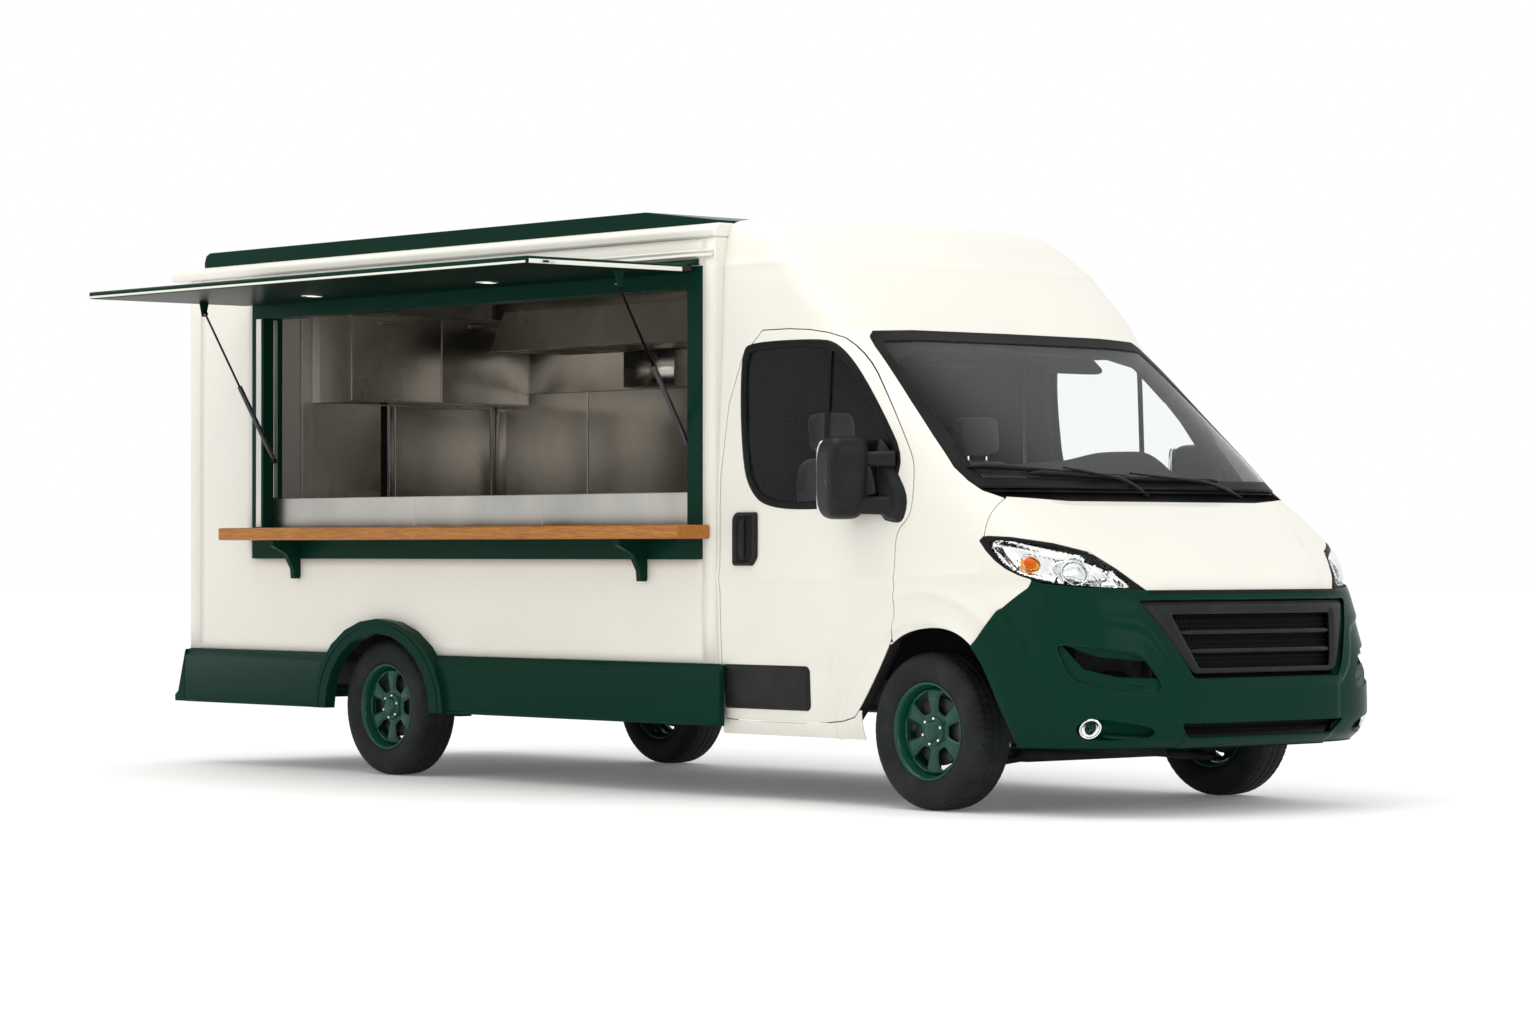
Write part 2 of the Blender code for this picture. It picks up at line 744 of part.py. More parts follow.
def make_windscreen():
    """The bonded glass, and the sunk cowl with a lip behind the glass's foot."""
    place(cab_panel(windscreen_form(0.0), GLASS), "windscreen", "glass")
    cowl = common(cowl_form(0.0), cab_form(COWL_DIP))
    lip_low = GLASS_LOW - COWL_LIP
    lip = [(glass_half(lip_low), lip_low), (glass_half(GLASS_LOW + COWL_LIP), GLASS_LOW + COWL_LIP)]
    behind = common(glass_region(-0.002), front_plate(lip, -0.002))
    common(behind, cab_form(GLASS + SEAT * 2))
    join(cowl, behind)
    cut(cowl, cab_form(COWL_DEPTH, CAB_REAR - 0.2))
    place(cowl, "cowl", "black plastic")


def make_bonnet():
    """The bonnet, hinged at its rear edge."""
    bonnet = cab_panel(bonnet_region(0.0), BONNET_THICK)
    place(bonnet, "bonnet", "cream paint", (BONNET_AXIS[0], 0.0, BONNET_AXIS[1]))


def grille_outline(gap):
    outline = [
        (-GRILLE_LOW_HALF, GRILLE_LOW), (GRILLE_LOW_HALF, GRILLE_LOW),
        (GRILLE_TOP_HALF, GRILLE_TOP), (-GRILLE_TOP_HALF, GRILLE_TOP),
    ]
    return grown(outline, gap)


def make_grille():
    """A frame with bars across and a plate close behind them."""
    grille = cab_panel(plate(grille_outline(-SEAT), "x", 0.6, 1.3), 0.06)
    (low_half, low), (top_half, top) = GRILLE_OPENING
    opening = [(-low_half, low), (low_half, low), (top_half, top), (-top_half, top)]
    pocket = plate(opening, "x", 0.6, 1.3)
    common(pocket, cut(block((0.5, -1, 0.4), (1.4, 1, 1.1)), cab_form(0.045, CAB_REAR - 0.2)))
    cut(grille, pocket)
    for height in GRILLE_BARS:
        bar = block((0.6, -0.7, height - GRILLE_BAR_HALF), (1.3, 0.7, height + GRILLE_BAR_HALF))
        common(bar, plate(grille_outline(-0.01), "x", 0.5, 1.35))
        common(bar, cab_form(0.012))
        cut(bar, cab_form(0.052, CAB_REAR - 0.2))
        join(grille, bar)
    place(grille, "grille", "black plastic")


def make_fog_lamp():
    """A round lamp that stands in its pocket, its face just under the bumper's skin."""
    across, height = FOG_CENTRE
    lamp = drum((across, -1.4, height), (across, -0.8, height), FOG_RADIUS, None, 16)
    lamp.data.transform(Matrix.Rotation(math.radians(45), 4, "Z"))
    common(lamp, cab_form(0.006))
    return cut(lamp, cab_form(FOG_DEPTH + 0.008, CAB_REAR - 0.2))


def make_front_bumper():
    """The green lower nose with its intakes and fog lamps."""
    bumper = cab_panel(bumper_region(0.0), BUMPER_THICK)
    cut(bumper, plate(grille_outline(0.0), "x", 0.6, 1.3))
    cut(bumper, *arch_tools())
    cut(bumper, *both_sides(diagonal(INTAKE_OUTLINE)))
    slot = [
        (-LOW_INTAKE_HALF, LOW_INTAKE[0]), (LOW_INTAKE_HALF, LOW_INTAKE[0]),
        (LOW_INTAKE_HALF + 0.06, LOW_INTAKE[1]), (-LOW_INTAKE_HALF - 0.06, LOW_INTAKE[1]),
    ]
    cut(bumper, plate(slot, "x", 0.6, 1.3))
    cut(bumper, *both_sides(cut(diagonal(FOG_POCKET), cab_form(FOG_DEPTH, CAB_REAR - 0.2))))
    join(bumper, *both_sides(make_fog_lamp()))
    place(bumper, "front_bumper", "green paint")


def make_headlamps():
    lamp = cab_panel(diagonal(grown(lamp_outline(), -SEAT)), LAMP_DEPTH)
    place(mirrored(lamp), "headlamp_left", "lamp")
    place(lamp, "headlamp_right", "lamp")


def make_mirrors():
    """Two-arm mirrors on the doors' front corners."""
    x, y, z = MIRROR_CENTRE
    size = Vector(MIRROR_SIZE) / 2
    head = rounded(block(-size, size), 0.035, 2)
    head.data.transform(Matrix.Rotation(math.radians(-MIRROR_SWEEP), 4, "Z"))
    moved(head, (x, -y, z))
    foot_outline = [(-0.30, 1.41), (-0.07, 1.37), (-0.075, 1.53), (-0.14, 1.62), (-0.21, 1.55)]
    foot = plate(foot_outline, "y", -1.052, -1.0)
    cut(foot, cab_form(-SEAT))
    arms = []
    for height in (1.43, 1.545):
        arms.append(drum((-0.15, -1.035, height), (x + 0.04, -y, height), 0.022, 0.022, 10))
    mirror = join(head, *arms)
    cut(mirror, cab_form(-SEAT))
    join(mirror, foot)
    place(mirrored(mirror), "mirror_left", "black plastic", (DOOR_AXIS[0], DOOR_AXIS[1], 1.0))
    place(mirror, "mirror_right", "black plastic", (DOOR_AXIS[0], -DOOR_AXIS[1], 1.0))


def make_dashboard():
    """The dash across the cab, with the column that carries the steering wheel."""
    (low_x, low_z), (high_x, high_z) = FIREWALL
    outline = [
        (low_x - SEAT, low_z + SEAT), (DASH_REAR + 0.06, low_z + 0.03), (DASH_REAR, low_z + 0.12),
        (DASH_REAR + 0.02, DASH_TOP - 0.03), (DASH_REAR + 0.06, DASH_TOP), (0.0, high_z + 0.02),
        (0.60, high_z + 0.03), (0.60, high_z + SEAT), (high_x - SEAT, high_z + SEAT),
    ]
    dash = plate(outline, "y", -DASH_HALF, DASH_HALF)
    common(dash, cab_form(DOOR_THICK + 0.04, CAB_REAR - 0.2))
    centre = Vector(STEERING_CENTRE)
    lean = math.radians(STEERING_TILT)
    axis = Vector((math.cos(lean), 0.0, -math.sin(lean)))
    column = drum(centre + axis * 0.035, centre + axis * 0.33, 0.04, 0.05, 12)
    stem = drum(centre - axis * 0.02, centre + axis * 0.10, 0.012, 0.012, 10)
    join(dash, column, stem)
    place(dash, "dashboard", "trim")


def make_steering_wheel():
    centre = Vector(STEERING_CENTRE)
    lean = math.radians(STEERING_TILT)
    axis = Vector((math.cos(lean), 0.0, -math.sin(lean)))
    profile = []
    for step in range(6):
        angle = math.tau * step / 6
        profile.append((STEERING_RADIUS + STEERING_TUBE * math.cos(angle), STEERING_TUBE * math.sin(angle)))
    rim = turned(profile, 20)
    hub = drum((0, -0.02, 0), (0, 0.024, 0), 0.055, 0.045, 16)
    wheel = join(rim, hub)
    for spoke in (0, 120, 240):
        angle = math.radians(spoke - 90)
        out = Vector((math.cos(angle), 0.0, math.sin(angle)))
        join(wheel, drum(out * 0.03, out * (STEERING_RADIUS - 0.004), 0.014, 0.010, 8))
    cut(wheel, drum((0, -0.1, 0), (0, 0.1, 0), 0.012 + PIN_PLAY, None, 16))
    turn = Vector((0, 1, 0)).rotation_difference(axis).to_matrix().to_4x4()
    wheel.data.transform(Matrix.Translation(centre) @ turn)
    place(wheel, "steering_wheel", "trim", STEERING_CENTRE)


def make_seats():
    """Driver's seat and passenger seat on their boxes."""
    for name, side in (("seat_driver", 1), ("seat_passenger", -1)):
        y = SEAT_Y * side
        half = SEAT_WIDTH / 2
        base = block((SEAT_X - 0.22, y - 0.2, CAB_FLOOR + SEAT), (SEAT_X + 0.2, y + 0.2, 0.86))
        cushion = block((SEAT_X - 0.26, y - half, 0.84), (SEAT_X + 0.26, y + half, 0.99))
        rounded(cushion, 0.03, 1)
        back = plate(
            [(SEAT_X - 0.30, 0.90), (SEAT_X - 0.17, 0.90), (SEAT_X - 0.24, 1.60), (SEAT_X - 0.34, 1.60)],
            "y", y - half + 0.02, y + half - 0.02,
        )
        rounded(back, 0.03, 1)
        head = block((SEAT_X - 0.35, y - 0.13, 1.61), (SEAT_X - 0.25, y + 0.13, 1.80))
        rounded(head, 0.03, 1)
        stems = drum((SEAT_X - 0.30, y, 1.55), (SEAT_X - 0.30, y, 1.65), 0.02, 0.02, 8)
        seat = join(base, cushion, back, stems, head)
        place(seat, name, "fabric")


# Chassis and wheels

def make_chassis():
    """Two rails, crossmembers, the front carrier and the front axle's arms and struts."""
    bars = []
    for side in (-1, 1):
        low = RAIL_Y * side - RAIL_WIDTH / 2
        bars.append(block((RAIL_REAR, low, RAIL_LOW), (RAIL_FRONT, low + RAIL_WIDTH, RAIL_HIGH)))
    chassis = bars[0]
    chassis = join(chassis, bars[1])
    for x in CROSSMEMBERS:
        join(chassis, block((x - 0.03, -RAIL_Y, 0.45), (x + 0.03, RAIL_Y, 0.54)))
    join(chassis, block((-0.10, -RAIL_Y, 0.44), (0.10, RAIL_Y, 0.50)))
    join(chassis, block((RAIL_FRONT - 0.06, -0.62, 0.45), (RAIL_FRONT, 0.62, 0.53)))
    back, front = RAIL_FRONT - 0.05, RAIL_FRONT
    post = block((back, -CARRIER_HALF, 0.50), (front, -CARRIER_HALF + 0.05, CARRIER_TOP))
    twin = mirrored(post)
    top = block((back, -CARRIER_HALF, CARRIER_TOP - 0.04), (front, CARRIER_HALF, CARRIER_TOP))
    join(chassis, post, twin, top)
    for side in (-1, 1):
        y = (CARRIER_HALF - 0.08) * side
        stop = drum((RAIL_FRONT - 0.025, y, CARRIER_TOP - 0.01), (RAIL_FRONT - 0.025, y, 1.3), 0.014, None, 8)
        join(chassis, common(stop, cab_form(BONNET_THICK + SEAT, CAB_REAR - 0.2)))
    place(chassis, "chassis_frame", "black plastic")


def make_front_axle():
    """Crossbeam, lower arms and spring struts that hold the two knuckles at their kingpins."""
    beam = block((-0.07, -0.45, 0.20), (0.07, 0.45, 0.26))
    for side in (-1, 1):
        y = KINGPIN_Y * side
        hanger_low = RAIL_Y * side - 0.02
        hanger = block((-0.05, hanger_low, 0.24), (0.05, hanger_low + 0.04, 0.43 - SEAT))
        arm = drum((0.0, 0.40 * side, 0.22), (0.0, y, 0.178), 0.020, 0.016, 8)
        foot = drum((0.0, y, 0.165), (0.0, y, 0.20), 0.026, 0.026, 12)
        lug = block((-0.024, min(0.68 * side, y), 0.487), (0.024, max(0.68 * side, y), 0.505))
        head = drum((0.0, y, 0.487), (0.0, y, 0.505), 0.026, 0.026, 14)
        strut = drum((0.0, 0.685 * side, 0.49), (0.0, 0.60 * side, 0.829), 0.030, 0.022, 12)
        link = drum((0.0, 0.40 * side, 0.30), (0.0, 0.68 * side, 0.50), 0.014, 0.014, 8)
        join(beam, hanger, arm, foot, link, strut, lug, head)
    place(beam, "front_axle", "steel")


def make_knuckles():
    """Post on the kingpin line with the wheel's spindle."""
    for name, side in (("knuckle_left", 1), ("knuckle_right", -1)):
        y = KINGPIN_Y * side
        post = drum((0, y, 0.20 + PIN_PLAY), (0, y, 0.487 - PIN_PLAY), KINGPIN_RADIUS, None, 14)
        boss = drum((0, y - 0.03 * side, TYRE_RADIUS), (0, y + 0.05 * side, TYRE_RADIUS), 0.05, 0.045, 16)
        spindle = drum((0, y, TYRE_RADIUS), (0, 0.985 * side, TYRE_RADIUS), SPINDLE_RADIUS, None, 16)
        join(post, boss, spindle)
        place(post, name, "steel", (0.0, y, TYRE_RADIUS))


def make_rear_axle():
    """A round beam on two leaf springs, with a spindle at each end."""
    x = -WHEELBASE
    beam = drum((x, -0.80, TYRE_RADIUS), (x, 0.80, TYRE_RADIUS), 0.045, None, 14)
    spindle = drum((x, -0.985, TYRE_RADIUS), (x, 0.985, TYRE_RADIUS), SPINDLE_RADIUS, None, 16)
    join(beam, spindle)
    for side in (-1, 1):
        y = 0.53 * side
        span = 0.62
        upper, lower = [], []
        for step in range(9):
            along = -1 + step / 4
            sag = TYRE_RADIUS + 0.06 + 0.08 * along * along
            thick = 0.018 + 0.018 * (1 - abs(along))
            upper.append((x + span * along, sag + 0.02))
            lower.append((x + span * along, sag + 0.02 - thick))
        spring = plate(upper + lower[::-1], "y", y - 0.03, y + 0.03)
        clamp = block((x - 0.05, y - 0.04, TYRE_RADIUS - 0.06), (x + 0.05, y + 0.04, TYRE_RADIUS + 0.085))
        join(beam, spring, clamp)
        for end in (-1, 1):
            inner = RAIL_Y * side + (RAIL_WIDTH / 2 + SEAT) * side
            outer = y + 0.03 * side
            shackle = block(
                (x + span * end - 0.025, min(inner, outer), TYRE_RADIUS + 0.125),
                (x + span * end + 0.025, max(inner, outer), RAIL_HIGH - 0.01),
            )
            join(beam, shackle)
    place(beam, "rear_axle", "steel")


def tyre_profile():
    """Half-round shoulders, a flat tread whose facets stand at the tyre's radius, and the beads."""
    half = TYRE_WIDTH / 2
    tread = TYRE_RADIUS / math.cos(math.pi / WHEEL_STEPS)
    return [
        (BEAD_RADIUS + SEAT, -0.080), (0.225, -0.094), (0.265, -half), (0.305, -half + 0.003),
        (0.337, -0.092), (tread, -0.055), (tread, 0.055),
        (0.337, 0.092), (0.305, half - 0.003), (0.265, half), (0.225, 0.094),
        (BEAD_RADIUS + SEAT, 0.080),
    ]


def rim_profile():
    """A barrel with a well and turned-up flanges."""
    inner = BEAD_RADIUS - RIM_WALL
    return [
        (0.217, -RIM_HALF), (BEAD_RADIUS, -0.081), (BEAD_RADIUS, 0.081), (0.217, RIM_HALF),
        (inner + 0.004, RIM_HALF - 0.004), (inner, 0.07), (inner, -0.07), (inner + 0.004, -RIM_HALF + 0.004),
    ]


def make_wheel(tag, x, side):
    """A tyre on a six-spoke rim, both round the spindle, with one spoke straight up."""
    centre = (x, WHEEL_Y * side, TYRE_RADIUS)
    tyre = turned(tyre_profile(), WHEEL_STEPS)
    rim = turned(rim_profile(), WHEEL_STEPS)
    hub = drum((0, -0.005, 0), (0, 0.055, 0), HUB_RADIUS, HUB_RADIUS - 0.012, 15)
    join(rim, hub)
    for spoke in range(SPOKES):
        angle = math.tau * spoke / SPOKES
        outline = [
            (0.045, -0.036), (0.12, -0.030), (0.190, -0.056), (0.190, 0.056), (0.12, 0.030), (0.045, 0.036),
        ]
        arm = plate(outline, "y", 0.028, 0.062)
        arm.data.transform(Matrix.Rotation(angle + math.pi / 2, 4, "Y"))
        join(rim, arm)
    cut(rim, drum((0, -0.2, 0), (0, 0.2, 0), SPINDLE_RADIUS + PIN_PLAY, None, 16))
    stand = Matrix.Rotation(math.pi / WHEEL_STEPS, 4, "Y")
    for piece, name, finish in ((tyre, "tyre_" + tag, "rubber"), (rim, "rim_" + tag, "green gloss")):
        piece.data.transform(stand)
        if side < 0:
            piece.data.transform(Matrix.Rotation(math.pi, 4, "Z"))
        piece.data.transform(Matrix.Translation(centre))
        place(piece, name, finish, centre)


def make_engine():
    size = Vector(ENGINE_SIZE) / 2
    engine = moved(rounded(block(-size, size), 0.02, 1), ENGINE_CENTRE)
    x, y, z = ENGINE_CENTRE
    bottom = z - size.z
    for side in (-1, 1):
        foot_y = RAIL_Y * side
        foot = block(
            (x - 0.05, min(0.25 * side, foot_y + 0.03 * side), RAIL_HIGH + SEAT),
            (x + 0.05, max(0.25 * side, foot_y + 0.03 * side), bottom + 0.06),
        )
        join(engine, foot)
    place(engine, "engine_block", "steel")


def make_tank():
    size = Vector(TANK_SIZE) / 2
    tank = rounded(block(-size, size), 0.04, 2)
    moved(tank, TANK_CENTRE)
    place(tank, "fuel_tank", "black plastic")


# Kitchen box

def wheel_tunnel(side, grow):
    """The space over a rear wheel."""
    low, high = 0.735 * side, 1.2 * side
    reach = 0.44 + grow
    form = plate(
        [(-WHEELBASE - reach, 0.2), (-WHEELBASE + reach, 0.2), (-WHEELBASE + reach, 0.70 + grow),
         (-WHEELBASE + reach - 0.10, 0.80 + grow), (-WHEELBASE - reach + 0.10, 0.80 + grow),
         (-WHEELBASE - reach, 0.70 + grow)],
        "y", min(low, high) - (grow if side > 0 else 0), max(low, high) + (grow if side < 0 else 0),
    )
    return form


def make_box_floor():
    """The floor with its two wheel boxes."""
    floor = block((BOX_REAR, -BOX_HALF + 0.004, FLOOR_LOW), (BOX_FRONT, BOX_HALF - 0.004, FLOOR_HIGH))
    for side in (-1, 1):
        cover = wheel_tunnel(side, 0.02)
        keep = block((-5.0, -BOX_HALF + WALL + SEAT, FLOOR_LOW), (-3.0, BOX_HALF - WALL - SEAT, 1.0))
        join(floor, common(cover, keep))
    cut(floor, wheel_tunnel(-1, 0.0), wheel_tunnel(1, 0.0))
    place(floor, "box_floor", "black plastic")


def side_wall(side):
    outer, inner = BOX_HALF * side, (BOX_HALF - WALL) * side
    wall = block(
        (BOX_REAR + WALL + SEAT, min(outer, inner), FLOOR_HIGH + SEAT),
        (BOX_FRONT - WALL - SEAT, max(outer, inner), WALL_TOP),
    )
    return cut(wall, wheel_tunnel(side, 0.0))


def window_opening(gap, depth_in, depth_out):
    return block(
        (WINDOW_REAR - gap, -depth_out, WINDOW_LOW - gap),
        (WINDOW_FRONT + gap, -depth_in, WINDOW_HIGH + gap),
    )


def make_box_walls():
    """Two sides, the rear and the wall towards the cab, joined at the real corners."""
    right = cut(side_wall(-1), window_opening(SEAT, 0.9, 1.2))
    place(right, "box_right_wall", "cream paint")
    left = cut(side_wall(1), side_door_form(SHUT))
    door_leaf = block(
        (SIDE_DOOR_FRONT - 0.05, BOX_HALF - WALL - 0.02, SIDE_DOOR_LOW),
        (SIDE_DOOR_FRONT + 0.06, BOX_HALF - WALL - SEAT, SIDE_DOOR_HIGH),
    )
    tie = block(
        (SIDE_DOOR_FRONT + SHUT + 0.01, BOX_HALF - WALL - 0.02, SIDE_DOOR_LOW),
        (SIDE_DOOR_FRONT + 0.06, BOX_HALF - WALL + 0.01, SIDE_DOOR_HIGH),
    )
    join(left, join(door_leaf, tie))
    place(left, "box_left_wall", "cream paint")
    rear = block((BOX_REAR, -BOX_HALF, FLOOR_HIGH + SEAT), (BOX_REAR + WALL, BOX_HALF, WALL_TOP))
    place(rear, "box_rear_wall", "cream paint")
    front = block((BOX_FRONT - WALL, -BOX_HALF, FLOOR_HIGH + SEAT), (BOX_FRONT, BOX_HALF, WALL_TOP))
    place(front, "bulkhead", "cream paint")


def make_roof():
    """The roof with its rear lip, and the green cap on it."""
    outline = [
        (-ROOF_SIDE, WALL_TOP + SEAT), (ROOF_SIDE, WALL_TOP + SEAT), (ROOF_SIDE, ROOF_TOP - 0.03),
        (ROOF_SIDE - 0.03, ROOF_TOP), (-ROOF_SIDE + 0.03, ROOF_TOP), (-ROOF_SIDE, ROOF_TOP - 0.03),
    ]
    roof = plate(outline, "x", BOX_REAR - ROOF_LIP, BOX_FRONT)
    place(roof, "box_roof", "cream paint")
    low = ROOF_TOP + SEAT
    side = [
        (CAP_REAR, low), (CAP_FRONT, low), (CAP_FRONT, low + 0.012), (CAP_FRONT - CAP_NOSE, CAP_TOP),
        (CAP_REAR + 0.05, CAP_TOP), (CAP_REAR + 0.015, CAP_TOP - 0.015), (CAP_REAR, CAP_TOP - 0.05),
    ]
    cap = plate(side, "y", -CAP_HALF, CAP_HALF)
    place(cap, "roof_cap", "green paint")


def arch_outline(half, height, low):
    """Half an ellipse over straight legs, from the rear foot to the front one."""
    centre = SKIRT_LOW
    points = [(ARCH_X - half, low)]
    for step in range(13):
        angle = math.pi * (1 - step / 12)
        points.append((ARCH_X + half * math.cos(angle), centre + (height - centre) * math.sin(angle)))
    points.append((ARCH_X + half, low))
    return points


def make_skirts():
    """Pressed skirts below the floor's edge, with a flare round each rear wheel."""
    inner = -(BOX_HALF + SEAT)
    profile = [
        (inner, SKIRT_LOW), (-SKIRT_OUT, SKIRT_LOW), (-SKIRT_OUT, SKIRT_HIGH - SKIRT_BAND),
        (inner - 0.008, SKIRT_HIGH), (inner, SKIRT_HIGH),
    ]
    skirt = plate(profile, "x", BOX_REAR, SKIRT_FRONT)
    join(skirt, plate(arch_outline(ARCH_HALF, ARCH_HEIGHT, SKIRT_LOW), "y", -ARCH_OUT, inner))
    cut(skirt, plate(arch_outline(ARCH_INNER_HALF, ARCH_INNER_HEIGHT, 0.1), "y", -1.3, -0.9))
    place(mirrored(skirt), "skirt_left", "green paint")
    place(skirt, "skirt_right", "green paint")


def make_rear_bumper():
    """A low step bumper across the back, with the closing panel above it."""
    step = plate(
        [(BUMPER_REAR_END, SKIRT_LOW), (BUMPER_REAR_END, BUMPER_REAR_HIGH - 0.02),
         (BUMPER_REAR_END + 0.03, BUMPER_REAR_HIGH), (BOX_REAR - SEAT, SKIRT_HIGH),
         (BOX_REAR - SEAT, SKIRT_LOW)],
        "y", -SKIRT_OUT, SKIRT_OUT,
    )
    place(step, "rear_bumper", "green paint")


def make_window_frame():
    """The green frame of the service window, with the shelf's two cast brackets."""
    frame = window_opening(0.0, FRAME_IN, FRAME_OUT)
    rear, front = WINDOW_REAR + POST, WINDOW_FRONT - POST
    low, high = SILL_TOP, WINDOW_HIGH - HEAD
    cut(frame, block((rear, -1.2, low), (front, -0.8, high)))
    for x in BRACKETS_X:
        gusset = plate(
            [(-FRAME_OUT + 0.01, SHELF_LOW - SEAT), (-SHELF_OUT + 0.03, SHELF_LOW - SEAT),
             (-SHELF_OUT + 0.03, SHELF_LOW - 0.03), (-1.13, 1.13), (-1.085, 1.05), (-1.08, BRACKET_LOW),
             (-1.046, BRACKET_LOW), (-1.0405, 1.02), (-1.0405, 1.11), (-1.03, 1.115)],
            "x", x - BRACKET_THICK / 2, x + BRACKET_THICK / 2,
        )
        join(frame, gusset)
    for x, inward in ((rear, 1), (front, -1)):
        end = x + (STRUT_INSET + EYE_WIDTH / 2) * inward
        pin = drum(
            (x - 0.01 * inward, STRUT_LOW_Y, STRUT_LOW_Z), (end, STRUT_LOW_Y, STRUT_LOW_Z), STRUT_PIN, None, 12,
        )
        boss = drum(
            (x - 0.01 * inward, STRUT_LOW_Y, STRUT_LOW_Z),
            (end - (EYE_WIDTH + PIN_PLAY) * inward, STRUT_LOW_Y, STRUT_LOW_Z), EYE_RADIUS, None, 12,
        )
        join(frame, boss, pin)
    place(frame, "window_frame", "green paint")


def make_shelf():
    shelf = block((SHELF_REAR, -SHELF_OUT, SHELF_LOW), (SHELF_FRONT, -FRAME_OUT - SEAT, SHELF_HIGH))
    rounded(shelf, 0.006, 1)
    place(shelf, "shelf", "wood")


def strut_places():
    """Places along X of the two struts' middle planes, and the way from jamb to strut."""
    rear, front = WINDOW_REAR + POST, WINDOW_FRONT - POST
    return ((rear + STRUT_INSET, 1), (front - STRUT_INSET, -1))


def make_hatch():
    """The awning panel, with its hinge strip and a lug beside each strut's upper eye."""
    y, z = HATCH_AXIS_Y, HATCH_AXIS_Z
    panel = block((HATCH_REAR, y - HATCH_DEPTH, z - HATCH_THICK), (HATCH_FRONT, y, z))
    rounded(panel, 0.006, 1)
    for x, inward in strut_places():
        low = x - (EYE_WIDTH / 2 + PIN_PLAY) * inward
        far = low - 0.008 * inward
        lug = plate(
            [(y - STRUT_REACH - 0.03, z - HATCH_THICK + 0.005), (y - STRUT_REACH + 0.03, z - HATCH_THICK + 0.005),
             (y - STRUT_REACH + 0.012, z - STRUT_DROP - 0.014), (y - STRUT_REACH - 0.012, z - STRUT_DROP - 0.014)],
            "x", min(low, far), max(low, far),
        )
        join(panel, lug)
    place(panel, "hatch", "green paint", (0.5 * (HATCH_REAR + HATCH_FRONT), y, z))


def make_hatch_hinge():
    """The hinge rail over the window that the hatch hangs from."""
    low_y = -FRAME_OUT - SEAT
    rail = plate(
        [(low_y, HATCH_AXIS_Z + 0.03), (low_y, HATCH_AXIS_Z + SEAT), (HATCH_AXIS_Y - 0.012, HATCH_AXIS_Z + SEAT),
         (HATCH_AXIS_Y - 0.012, HATCH_AXIS_Z + 0.008), (low_y - 0.010, HATCH_AXIS_Z + 0.02),
         (low_y - 0.006, HATCH_AXIS_Z + 0.03)],
        "x", HATCH_REAR, HATCH_FRONT,
    )
    place(rail, "hatch_hinge", "green paint")


def make_struts():
    """Gas struts: the tube turns on the jamb's pin and the rod slides out of it."""
    low = Vector((0.0, STRUT_LOW_Y, STRUT_LOW_Z))
    high = Vector((0.0, HATCH_AXIS_Y - STRUT_REACH, HATCH_AXIS_Z - STRUT_DROP))
    run = (high - low).normalized()
    for tag, (x, inward) in zip(("rear", "front"), strut_places()):
        at = Vector((x, 0.0, 0.0))
        side = Vector((EYE_WIDTH / 2, 0.0, 0.0))
        eye = drum(at + low - side, at + low + side, EYE_RADIUS, None, 14)
        neck = drum(at + low, at + low + run * 0.03, EYE_WIDTH * 0.46, None, 10)
        body = drum(at + low + run * 0.024, at + low + run * TUBE_LENGTH, TUBE_RADIUS, None, 14)
        join(eye, neck, body)
        cut(eye, drum(at + low - side * 2, at + low + side * 2, STRUT_PIN + PIN_PLAY, None, 14))
        cut(eye, drum(at + low + run * 0.022, at + low + run * (TUBE_LENGTH + 0.1), ROD_RADIUS + PIN_PLAY, None, 12))
        place(eye, "strut_tube_" + tag, "black plastic", at + low)
        top = drum(at + high - side, at + high + side, EYE_RADIUS - 0.002, None, 14)
        bar = drum(at + high, at + high - run * ROD_LENGTH, ROD_RADIUS, None, 12)
        place(join(top, bar), "strut_rod_" + tag, "steel", at + high)


def side_door_form(gap):
    return block(
        (SIDE_DOOR_REAR - gap, BOX_HALF - WALL - (0.1 if gap else 0.0), SIDE_DOOR_LOW - gap),
        (SIDE_DOOR_FRONT + gap, BOX_HALF + (0.1 if gap else 0.0), SIDE_DOOR_HIGH + gap),
    )


def make_side_door():
    """The staff door in the left wall, hinged at its front edge, with a grab handle."""
    door = side_door_form(0.0)
    handle_x = SIDE_DOOR_REAR + 0.07
    grip = rounded(block((handle_x - 0.02, BOX_HALF - 0.005, 1.35), (handle_x + 0.02, BOX_HALF + 0.03, 1.55)), 0.008, 1)
    join(door, grip)
    place(door, "side_door", "cream paint", (SIDE_DOOR_FRONT + 0.003, BOX_HALF, 1.0))


